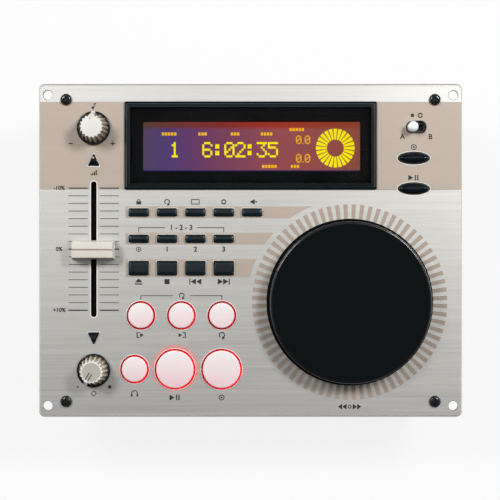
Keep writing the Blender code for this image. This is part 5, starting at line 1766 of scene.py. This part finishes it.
@dataclass
class PitchFader:
    """The pitch fader: a cream cap with a brown strip in its centre groove as painted shade, its
    lever and its body.
    """

    workshop: Workshop
    foot: Point = (21.2 * MM, 9.3 * MM)
    crown: Point = (19.9 * MM, 7.7 * MM)
    shift: float = -0.3 * MM
    edge: float = 0.35 * MM
    groove: Point = (0.75 * MM, 0.45 * MM)
    line_share: float = 0.7

    def build(self) -> None:
        """Make the cap and the painted shade in its groove."""
        low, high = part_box("pitch_fader_cap")
        place = middle("pitch_fader_cap")
        half_foot, half_crown = self.foot[1] / 2, self.crown[1] / 2
        width, depth = self.groove
        profile = [(half_foot, low.z), (half_foot, low.z + self.edge * 2), (half_crown, high.z),
                   (width / 2, high.z), (width / 4, high.z - depth), (-width / 4, high.z - depth),
                   (-width / 2, high.z), (-half_crown, high.z), (-half_foot, low.z + self.edge * 2),
                   (-half_foot, low.z)]
        cap = tapered_block(profile, self.foot[0] / 2, self.crown[0] / 2)
        rims = [edge for edge in cap.edges
                if all(abs(point.co.y) > width and point.co.z > low.z for point in edge.verts)
                or (abs(edge.verts[0].co.x - edge.verts[1].co.x) < self.edge
                    and all(abs(point.co.y) > width / 3 and point.co.z > high.z - self.edge
                            for point in edge.verts))]
        bmesh.ops.bevel(cap, geom=rims, offset=self.edge, segments=3, profile=0.5, affect="EDGES",
                        clamp_overlap=True)
        bmesh.ops.recalc_face_normals(cap, faces=cap.faces)
        make = self.workshop.make
        y = place.y + self.shift
        make("pitch_fader_cap_body", moved(cap, place.x, y), CAP_CREAM, "pitch_fader",
             Slot.CAP, ("pitch_fader_cap",))
        # A brown strip in the groove: painted shade.
        line_half = width / 4 * self.line_share * 2
        reach = self.crown[0] / 2 - self.edge * 0.4
        line = prism(bar(-reach, reach, -line_half, line_half), high.z - depth - self.edge * 0.2,
                     high.z - depth * 0.45)
        make("pitch_fader_cap_line", moved(line, place.x, y), CAP_GROOVE_SHADE, "pitch_fader",
             Slot.CAP)
        self.workshop.refinish(ZINC, "pitch_fader_lever")
        # The fader body is dark so that its slot looks dark: painted shade inside the slot.
        self.workshop.refinish(DULL_BLACK, "pitch_fader_body")


@dataclass
class SelectSwitch:
    """The select switch: a polished domed knob in its slot, and its body."""

    workshop: Workshop
    neck_share: float = 0.72
    dome_share: float = 0.4

    def build(self) -> None:
        """Make the polished knob."""
        low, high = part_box("select_knob")
        place = middle("select_knob")
        radius = span("select_knob").x / 2
        neck = radius * self.neck_share
        dome = radius * self.dome_share
        crown = [(radius * math.cos(angle), high.z - dome + dome * math.sin(angle))
                 for angle in (math.pi / 2 * step / 12 for step in range(12, -1, -1))]
        crown[0] = (radius * 0.02, high.z)
        skirt = [(radius, high.z - dome * 1.9), (radius * 0.93, high.z - dome * 2.2),
                 (neck, high.z - dome * 2.5), (neck, PLATE_TOP + dome * 0.4),
                 (radius * 0.9, PLATE_TOP), (radius * 0.9, low.z)]
        knob = lathe([*crown, *skirt], 72)
        self.workshop.make("select_knob_body", moved(knob, place.x, place.y), CHROME,
                           "select_knob", Slot.POLISHED, ("select_knob",))
        self.workshop.refinish(DULL_BLACK, "select_switch_body")


@dataclass
class SearchWheel:
    """The search wheel: a heavy black disc with a soft edge, on its shaft."""

    workshop: Workshop
    fillet: float = 1.0 * MM
    lower_fillet: float = 0.5 * MM
    foot_inset: float = 0.2 * MM
    shoulder_inset: float = 1.7 * MM
    pad_gap: float = 0.25 * MM
    rim_depth: float = 0.4 * MM
    dish_depth: float = 0.25 * MM
    dish_rings: int = 12
    rim_width: float = 4.0 * MM
    recess: float = 3.0 * MM
    hub_radius: float = 9.0 * MM
    bore_radius: float = 3.3 * MM
    bore_depth: float = 8.0 * MM

    def build(self) -> None:
        """Make the wheel and finish what carries it."""
        low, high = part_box("search_wheel")
        place = middle("search_wheel")
        radius = span("search_wheel").x / 2
        shoulder = radius - self.shoulder_inset
        floor = shoulder - self.fillet - self.pad_gap
        dish = [(max(floor * step / self.dish_rings, POLE_RADIUS),
                 high.z - self.dish_depth * (1 - (step / self.dish_rings) ** 2))
                for step in range(self.dish_rings + 1)]
        under = high.z - self.dish_depth * 2
        pad = lathe([*dish, (floor, under), (POLE_RADIUS, under)], 192)
        self.workshop.make("search_wheel_pad", moved(pad, place.x, place.y), WHEEL_BLACK,
                           "search_wheel", Slot.WHEEL)
        upper = round_shoulder(shoulder, high.z, self.fillet, 10)
        inner = floor + self.pad_gap / 2
        ring = lathe([(inner, high.z), *upper, (shoulder - self.rim_depth, high.z - self.fillet),
                      (inner, high.z - self.fillet)], 256, ring_shaped=True)
        self.workshop.make("search_wheel_rim", moved(ring, place.x, place.y), WHEEL_RIM,
                           "search_wheel", Slot.WHEEL)
        radius -= self.foot_inset
        foot = [(radius, low.z + self.lower_fillet), (radius - self.lower_fillet, low.z),
                (radius - self.rim_width, low.z), (radius - self.rim_width, low.z + self.recess),
                (self.hub_radius, low.z + self.recess), (self.hub_radius, low.z),
                (self.bore_radius, low.z), (self.bore_radius, low.z + self.bore_depth)]
        wheel = lathe([(POLE_RADIUS, under), (inner, under), (inner, high.z - self.fillet / 2),
                       (shoulder, high.z - self.fillet), *foot], 256)
        self.workshop.make("search_wheel_disc", moved(wheel, place.x, place.y), WHEEL_BLACK,
                           "search_wheel", Slot.WHEEL, ("search_wheel",))
        self.workshop.refinish(ZINC, "wheel_shaft")
        self.workshop.refinish(ACETAL, "wheel_bearing")
        self.workshop.refinish(DULL_BLACK, "encoder_disc", "encoder_sensor")


# Display

GLYPHS = {
    "0": (".###.", "#...#", "#..##", "#.#.#", "##..#", "#...#", ".###."),
    "1": (".#.", "##.", ".#.", ".#.", ".#.", ".#.", "###"),
    "2": (".###.", "#...#", "....#", "...#.", "..#..", ".#...", "#####"),
    "3": ("#####", "...#.", "..#..", "...#.", "....#", "#...#", ".###."),
    "5": ("#####", "#....", "####.", "....#", "....#", "#...#", ".###."),
    "6": (".###.", "#...#", "#....", "####.", "#...#", "#...#", ".###."),
    ":": ("..", "##", "##", "..", "##", "##", ".."),
    ".": (".", ".", ".", ".", ".", ".", "#"),
}


@dataclass
class Display:
    """The display: a bevelled black bezel, a clear window and lit dot-matrix figures."""

    workshop: Workshop
    bevel: float = 1.3 * MM
    bevel_drop: float = 0.9 * MM
    corner_radius: float = 0.8 * MM
    bevel_line: float = 0.22 * MM
    line_drop: float = 0.03 * MM
    rounding: float = 0.05 * MM
    window_seat: float = 0.25 * MM
    mask_left: float = -53.0 * MM
    mask_right: float = 54.05 * MM
    mask_front: float = 38.9 * MM
    mask_rear: float = 63.4 * MM
    mask_thickness: float = 0.1 * MM
    glow_thickness: float = 0.15 * MM
    dot_pitch: Point = (1.02 * MM, 1.09 * MM)
    dot_share: float = 0.97
    dot_rise: float = 0.04 * MM
    figure_top: float = 53.55 * MM
    small_pitch: Point = (0.54 * MM, 0.6 * MM)
    ring_centre: Point = (41.85 * MM, 50.53 * MM)
    ring_inner: float = 4.2 * MM
    ring_outer: float = 9.58 * MM
    ring_count: int = 24
    ring_fill: float = 0.74
    figures: tuple[tuple[str, float], ...] = (
        ("1", -38.95 * MM), ("6", -23.9 * MM), (":", -17.45 * MM), ("0", -13.0 * MM),
        ("2", -7.55 * MM), (":", -1.5 * MM), ("3", 3.0 * MM), ("5", 8.5 * MM))
    small_left: float = 22.45 * MM
    small_tops: tuple[float, float] = (56.75 * MM, 47.6 * MM)
    block_size: Point = (1.15 * MM, 1.5 * MM)
    block_pitch: float = 1.52 * MM
    blocks: tuple[tuple[float, float, int], ...] = (
        (-44.0 * MM, 57.5 * MM, 5), (-26.0 * MM, 57.5 * MM, 3), (-9.9 * MM, 57.5 * MM, 3),
        (4.9 * MM, 57.5 * MM, 4), (19.0 * MM, 59.7 * MM, 5), (5.5 * MM, 41.5 * MM, 5),
        (19.7 * MM, 41.5 * MM, 3))

    def build(self) -> None:
        """Make the bezel, the module with its figures and the window."""
        self.bezel()
        self.module()
        self.lit_figures()
        self.window()

    def bezel(self) -> None:
        """Make the bevelled frame and a bluish strip at its bevel's edge, a painted highlight."""
        low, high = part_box("display_bezel")
        place, size = middle("display_bezel"), span("display_bezel")
        pane = span("display_window")
        lip = Faceplate.bezel_lip + self.window_seat
        inner = (pane.x - size.x) / 2 + self.window_seat
        outline = box_outline(size.x, size.y, self.corner_radius, place.x, place.y, 5)

        def ring(growth: float, height: float) -> list[Vector]:
            """Return the bezel's outline, grown, at a height."""
            return level(outline(growth), height)

        frame_mesh = loft([
            ring(0.0, PLATE_TOP + SEAT_GAP), ring(0.0, high.z - self.bevel_drop),
            ring(-self.bevel, high.z - self.rounding),
            ring(-self.bevel - self.rounding * 2, high.z),
            ring(inner - self.rounding, high.z), ring(inner, high.z - self.rounding),
            ring(inner, low.z), ring(-lip, low.z), ring(-lip, PLATE_TOP + SEAT_GAP)],
            ring_shaped=True)
        self.workshop.make("display_bezel_frame", frame_mesh, GLOSS_BLACK, "case", Slot.BEZEL,
                           ("display_bezel",))
        # A bluish strip along the bevel's edge: painted highlight.
        top = high.z - self.line_drop
        line = loft([ring(-self.bevel + self.bevel_line, top - self.bevel_drop * 0.12),
                     ring(-self.bevel, top + SEAT_GAP),
                     ring(-self.bevel, top - self.bevel_drop * 0.3),
                     ring(-self.bevel + self.bevel_line, top - self.bevel_drop * 0.4)],
                    ring_shaped=True)
        self.workshop.make("display_bezel_line", line, BEZEL_HIGHLIGHT, "case", Slot.BEZEL)

    def module(self) -> None:
        """Make the display's frame, its glowing field and the mask round it."""
        low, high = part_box("display_module")
        place, size = middle("display_module"), span("display_module")
        top = high.z - self.glow_thickness
        body = round_slab(box_outline(size.x, size.y, self.corner_radius, place.x, place.y, 4),
                          low.z, top, self.glow_thickness)
        self.workshop.make("display_module_body", body, DULL_BLACK, "case", Slot.BLACK,
                           ("display_module",))
        left, right, front, rear = self.mask_left, self.mask_right, self.mask_front, self.mask_rear
        glow = prism(bar(left, right, front, rear), top, high.z)
        self.workshop.make("display_glow", glow, BackLight("display_back_light", left, right,
                                                           front, rear), "case", Slot.DISPLAY)
        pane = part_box("display_window")[0]
        mask = pierced_sheet(box_outline(size.x, size.y, self.corner_radius, place.x, place.y, 4),
                             [lambda growth: bar(left, right, front, rear)],
                             pane.z - self.mask_thickness * 2, pane.z - self.mask_thickness)
        self.workshop.make("display_mask", mask, MASK_BLACK, "case", Slot.DISPLAY)

    def dots(self, words: Iterable[tuple[str, float]], top: float, pitch: Point) -> list[tuple]:
        """Return the places of the lit dots of some figures.

        Args:
            words: each figure and its left edge.
            top: their upper edge.
            pitch: the dots' pitch along X and Y.
        """
        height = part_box("display_module")[1].z + self.dot_rise / 2
        return [(left + (column + 0.5) * pitch[0], top - (row + 0.5) * pitch[1], height)
                for figure, left in words
                for row, cells in enumerate(GLYPHS[figure])
                for column, cell in enumerate(cells) if cell == "#"]

    def lit_figures(self) -> None:
        """Light the dot-matrix figures and the ring of segments."""
        grow, make = self.workshop.repeat, self.workshop.make
        small = [("0", self.small_left), (".", self.small_left + self.small_pitch[0] * 6),
                 ("0", self.small_left + self.small_pitch[0] * 8)]
        small_dots = [dot for top in self.small_tops
                      for dot in self.dots(small, top, self.small_pitch)]
        for name, finish, places, pitch in (
                ("display_figures", YELLOW_FIGURE,
                 self.dots(self.figures, self.figure_top, self.dot_pitch), self.dot_pitch),
                ("display_small_figures", AMBER_FIGURE, small_dots, self.small_pitch)):
            mesh = grow(BoxesAtPlaces, finish, {
                "Width": pitch[0] * self.dot_share, "Depth": pitch[1] * self.dot_share,
                "Height": self.dot_rise}, places)
            make(name, mesh, finish, "case", Slot.DISPLAY)
        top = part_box("display_module")[1].z
        places = [(left + self.block_pitch * (index + 0.5), y, top + self.dot_rise / 2)
                  for left, y, count in self.blocks for index in range(count)]
        blocks = grow(BoxesAtPlaces, AMBER_FIGURE, {
            "Width": self.block_size[0], "Depth": self.block_size[1],
            "Height": self.dot_rise}, places)
        make("display_blocks", blocks, AMBER_FIGURE, "case", Slot.DISPLAY)
        ring = grow(BarsRound, YELLOW_FIGURE, {
            "Count": self.ring_count, "Inner Radius": self.ring_inner,
            "Outer Radius": self.ring_outer, "Fill": self.ring_fill, "Start": 0.0, "Low": top,
            "High": top + self.dot_rise}, place=(*self.ring_centre, 0.0))
        make("display_ring", ring, YELLOW_FIGURE, "case", Slot.DISPLAY)

    def window(self) -> None:
        """Make the clear window, a hair below the bezel's face."""
        low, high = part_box("display_window")
        place, size = middle("display_window"), span("display_window")
        pane = round_slab(box_outline(size.x, size.y, self.corner_radius * 0.6, place.x, place.y,
                                      4), low.z, high.z, self.mask_thickness)
        self.workshop.make("display_window_pane", pane, CLEAR_WINDOW, "case", Slot.WINDOW,
                           ("display_window",))


# Case, feet and screws


def crossed_head(radius: float, height: float, recess: Point, depth: float,
                 shank_radius: float, shank_length: float) -> bmesh.types.BMesh:
    """Return a pan-head screw that stands on the origin, with a cross recess.

    Args:
        radius: the head's radius.
        height: the head's height.
        recess: the cross's width and length.
        depth: the cross's depth.
        shank_radius: the thread's radius.
        shank_length: how far the thread reaches down.
    """
    crown = [(radius * across, height * up) for across, up in (
        (0.05, 1.0), (0.45, 0.985), (0.68, 0.92), (0.84, 0.8), (0.94, 0.6), (1.0, 0.32))]
    head = lathe([*crown, (radius, 0.0), (shank_radius, 0.0), (shank_radius, -shank_length)], 48)
    width, length = recess
    slot = tapered_block([(width / 2, height * 1.2), (-width / 2, height * 1.2),
                          (-width / 3, height - depth), (width / 3, height - depth)],
                         length * 0.3, length / 2)
    crossing = spun(slot.copy(), math.pi / 2)
    return cut(cut(head, slot), crossing)


@dataclass
class Case:
    """The case below the faceplate, with its base, feet and screws."""

    workshop: Workshop
    wall: float = 1.2 * MM
    corner_radius: float = 2.5 * MM
    edge: float = 0.3 * MM
    tab_side: float = 8.0 * MM
    tab_thickness: float = 3.0 * MM
    socket_clearance: float = 0.3 * MM
    overrun: float = 2.0 * MM
    foot_taper: float = 0.8 * MM
    foot_edge: float = 0.5 * MM
    foot_recess: Point = (3.6 * MM, 1.5 * MM)
    head_radius: float = 2.85 * MM
    head_height: float = 1.9 * MM
    recess_size: Point = (0.85 * MM, 3.3 * MM)
    recess_depth: float = 1.1 * MM
    shank: Point = (1.5 * MM, 7.5 * MM)
    base_screw_inset: float = 4.0 * MM
    base_head: Point = (2.6 * MM, 1.5 * MM)

    def build(self) -> None:
        """Make the walls, the feet and both sets of screws."""
        self.walls()
        self.feet()
        self.plate_screws()
        self.base_screws()
        self.workshop.refinish(CASE_PAINT, "base_plate")

    def walls(self) -> None:
        """Make the folded walls, their screw tabs and the socket's opening."""
        low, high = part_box("case_frame")
        size = high - low
        outer = box_outline(size.x, size.y, self.corner_radius, 0.0, 0.0, 8)
        shell = loft([level(outer(-self.edge), high.z), level(outer(-self.edge * 0.3),
                                                             high.z - self.edge * 0.3),
                      level(outer(0.0), high.z - self.edge), level(outer(0.0), low.z + self.edge),
                      level(outer(-self.edge * 0.3), low.z + self.edge * 0.3),
                      level(outer(-self.edge), low.z), level(outer(-self.wall), low.z),
                      level(outer(-self.wall), high.z)], ring_shaped=True)
        socket_low, socket_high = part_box("control_socket")
        flange = ControlSocket.flange_reach
        left = socket_low.x + flange - self.socket_clearance
        opening = prism(bar(left, -left, high.y - self.wall - self.overrun,
                            high.y + self.overrun),
                        socket_low.z + flange - self.socket_clearance,
                        socket_high.z - flange + self.socket_clearance)
        shell = cut(shell, opening)
        tab_x = size.x / 2 - self.tab_side / 2 - self.wall * 0.9
        tab_y = size.y / 2 - self.tab_side / 2 - self.wall * 0.9
        tabs = []
        for x, y in ((tab_x, tab_y), (-tab_x, tab_y), (tab_x, -tab_y), (-tab_x, -tab_y)):
            tab = shifted(rounded(self.tab_side, self.tab_side, self.edge * 2, 3), x, y)
            tabs += [prism(tab, high.z - self.tab_thickness, high.z - self.edge),
                     prism(tab, low.z + self.edge, low.z + self.tab_thickness)]
        self.workshop.make("case_walls", joined((shell, *tabs)), CASE_PAINT, "case", Slot.CASE,
                           ("case_frame",))

    def feet(self) -> None:
        """Make the four rubber feet."""
        nodes = ["foot_" + corner for corner in CORNERS]
        height, radius = span(nodes[0]).z, span(nodes[0]).x / 2
        small = radius - self.foot_taper
        recess, depth = self.foot_recess
        foot = lathe([(radius * 0.05, height), (radius - self.foot_edge * 0.3, height),
                      (radius, height - self.foot_edge * 0.3), (radius, height - self.foot_edge * 2),
                      (small, self.foot_edge), (small - self.foot_edge * 0.4,
                                                self.foot_edge * 0.25),
                      (small - self.foot_edge, 0.0), (recess + self.foot_edge * 0.6, 0.0),
                      (recess, self.foot_edge * 0.6), (recess, depth), (recess * 0.05, depth)], 72)
        places = [(middle(node).x, middle(node).y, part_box(node)[0].z) for node in nodes]
        self.workshop.make("rubber_feet", self.workshop.copies(foot, FOOT_RUBBER, places),
                           FOOT_RUBBER, "case", Slot.RUBBER, nodes)

    def plate_screws(self) -> None:
        """Make the faceplate's four screws."""
        nodes = ["faceplate_screw_" + corner for corner in CORNERS]
        screw = crossed_head(self.head_radius, self.head_height, self.recess_size,
                             self.recess_depth, *self.shank)
        places = [(middle(node).x, middle(node).y, PLATE_TOP + SEAT_GAP) for node in nodes]
        self.workshop.make("faceplate_screws", self.workshop.copies(screw, BLACK_SCREW, places),
                           BLACK_SCREW, "case", Slot.SCREW, nodes)

    def base_screws(self) -> None:
        """Make the four screws that hold the base."""
        size = span("case_frame")
        x, y = size.x / 2 - self.base_screw_inset, size.y / 2 - self.base_screw_inset
        screw = crossed_head(*self.base_head, self.recess_size, self.recess_depth * 0.8,
                             self.shank[0], self.shank[1] * 0.6)
        screw = spun(screw, math.pi, "X")
        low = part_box("base_plate")[0].z - SEAT_GAP
        places = [(side_x * x, side_y * y, low) for side_x in (1, -1) for side_y in (1, -1)]
        self.workshop.make("base_screws", self.workshop.copies(screw, BLACK_SCREW, places),
                           BLACK_SCREW, "case", Slot.SCREW)


@dataclass
class ControlSocket:
    """The socket in the rear wall: its housing stays, with contacts added in its mouth."""

    workshop: Workshop
    flange_reach: float = 3.0 * MM
    mouth_depth: float = 8.0 * MM
    wall: float = 1.5 * MM
    side_gap: float = 2.6 * MM
    tongue_thickness: float = 2.2 * MM
    tongue_reach: float = 5.6 * MM
    contact: tuple[float, float, float] = (0.7 * MM, 4.8 * MM, 0.25 * MM)
    contact_pitch: float = 1.6 * MM
    contact_count: int = 10

    def build(self) -> None:
        """Make the insulating tongue and its contacts."""
        low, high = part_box("control_socket")
        place = middle("control_socket")
        half = span("control_socket").x / 2 - self.flange_reach - self.wall - self.side_gap
        back = high.y - self.mouth_depth
        tongue = round_slab(box_outline(half * 2, self.tongue_thickness, self.wall * 0.3, 0.0, 0.0,
                                        3), -self.wall * 0.2, self.tongue_reach, self.wall * 0.3)
        tongue = spun(tongue, -math.pi / 2, "X")
        make = self.workshop.make
        make("socket_tongue", moved(tongue, place.x, back, place.z), DULL_BLACK, "case",
             Slot.BLACK)
        width, length, thickness = self.contact
        first = place.x - self.contact_pitch * (self.contact_count - 1) / 2
        y = back + length / 2
        offset = self.tongue_thickness / 2
        places = [(first + self.contact_pitch * index, y, place.z + side * offset)
                  for index in range(self.contact_count) for side in (-1, 1)]
        contacts = self.workshop.repeat(BoxesAtPlaces, GOLD, {
            "Width": width, "Depth": length, "Height": thickness}, places)
        make("socket_contacts", contacts, GOLD, "case", Slot.STEEL)
        self.workshop.refinish(DULL_BLACK, "control_socket")


@dataclass
class Electronics:
    """The circuit boards and the cable inside, whose CAD shapes stay."""

    workshop: Workshop

    def build(self) -> None:
        """Finish the boards and the ribbon cable."""
        self.workshop.refinish(BOARD_GREEN, "main_board", "button_board", "pitch_board",
                               "select_board")
        self.workshop.refinish(RIBBON_GREY, "ribbon_cable")


# Studio


@dataclass
class Studio:
    """A plain white floor, two soft lights and a camera straight above."""

    camera_place: tuple[float, float] = (-0.00027, 0.0002)
    camera_height: float = 0.852
    lens: float = 116.6
    floor_size: float = 8.0
    floor_level: float = -0.0005
    light_size: Point = (0.36, 0.24)
    light_powers: Point = (6.4, 9.0)
    light_x: float = 0.57
    light_y: float = 0.45
    light_height: float = 1.0
    front_level: float = 0.03
    rear_level: float = 0.17
    side_level: float = 1.7
    overhead_level: float = 0.36
    overhead_shift: float = 0.1

    def build(self) -> None:
        """Make the camera, the floor, the lights and the sky."""
        self.camera()
        self.floor()
        for name, side, power in zip(("left_light", "right_light"), (-1, 1), self.light_powers):
            self.light(name, side, power)
        self.world()
        bpy.context.scene.view_settings.view_transform = "Standard"

    def camera(self) -> None:
        """Put the camera above the faceplate, looking straight down."""
        data = bpy.data.cameras.new("camera")
        data.lens = self.lens
        data.clip_start = 0.01
        camera = linked("camera", data)
        camera.location = (*self.camera_place, self.camera_height)
        bpy.context.scene.camera = camera

    def floor(self) -> None:
        """Make a floor that looks white and still takes the object's shadow."""
        bm = bmesh.new()
        bmesh.ops.create_grid(bm, x_segments=1, y_segments=1, size=self.floor_size / 2)
        mesh = plain_mesh("floor", bm)
        mesh.transform(Matrix.Translation((0.0, 0.0, self.floor_level)))
        mesh.materials.append(self.floor_material())
        linked("floor", mesh)

    def floor_material(self) -> bpy.types.Material:
        """Return a pale floor that camera, glossy and transmission rays see as white."""
        graph = MaterialGraph("floor_white")
        path = graph.node("ShaderNodeLightPath", output="Is Camera Ray").socket.node
        seen = graph.maths("MAXIMUM", graph.maths(
            "MAXIMUM", Value(graph, path.outputs["Is Camera Ray"]),
            Value(graph, path.outputs["Is Glossy Ray"])),
            Value(graph, path.outputs["Is Transmission Ray"]))
        pale = graph.node("ShaderNodeBsdfDiffuse", inputs={"Color": (0.85, 0.85, 0.85, 1.0)})
        white = graph.node("ShaderNodeEmission", inputs={"Color": (1.0, 1.0, 1.0, 1.0),
                                                         "Strength": 1.0})
        mixed = graph.node("ShaderNodeMixShader", inputs={0: seen * 0.86, 1: pale, 2: white})
        graph.node("ShaderNodeOutputMaterial", inputs={"Surface": mixed})
        return graph.material

    def light(self, name: str, side: int, power: float) -> None:
        """Add a soft lamp to the rear, on one side."""
        data = bpy.data.lights.new(name, "AREA")
        data.shape = "RECTANGLE"
        data.size, data.size_y = self.light_size
        data.energy = power
        lamp = linked(name, data)
        lamp.location = (side * self.light_x, self.light_y, self.light_height)
        lamp.rotation_euler = (-lamp.location).to_track_quat("-Z", "Y").to_euler()

    def world(self) -> None:
        """Fill the room with pale light: dim to the front and overhead, bright at both sides."""
        world = bpy.data.worlds.new("room")
        world.use_nodes = True
        graph = NodeGraph(world.node_tree)
        x, y, z = graph.parts(graph.node("ShaderNodeTexCoord", output="Generated"))
        rear = y.smooth(-0.2, 0.15) * (1.0 - y.smooth(0.35, 0.8) * 0.5)
        level = (self.front_level + rear * self.rear_level
                 + abs(x).smooth(0.85, 0.98) * self.side_level)
        shifted_y = y - self.overhead_shift
        spread = x * x * 0.5 + shifted_y * shifted_y
        level = level + (1.0 - spread.smooth(0.0, 0.12)) * z.smooth(0.0, 0.5) * self.overhead_level
        background = graph.node("ShaderNodeBackground", inputs={
            "Color": (1.0, 1.0, 1.0, 1.0), "Strength": level})
        graph.node("ShaderNodeOutputWorld", inputs={"Surface": background})
        bpy.context.scene.world = world


def main() -> None:
    """Build the studio and every sub-assembly."""
    logging.basicConfig(level=logging.INFO, format="%(message)s")
    workshop = Workshop()
    Studio().build()
    for kind in (Faceplate, ButtonField, PitchFader, SelectSwitch, SearchWheel, Display, Case,
                 ControlSocket, Electronics):
        LOG.info("Building %s", kind.__name__)
        kind(workshop).build()
    Knob(workshop, "key", 90.0).build()
    Knob(workshop, "focus", 240.0, has_lines=True).build()


if __name__ == "__main__":
    main()
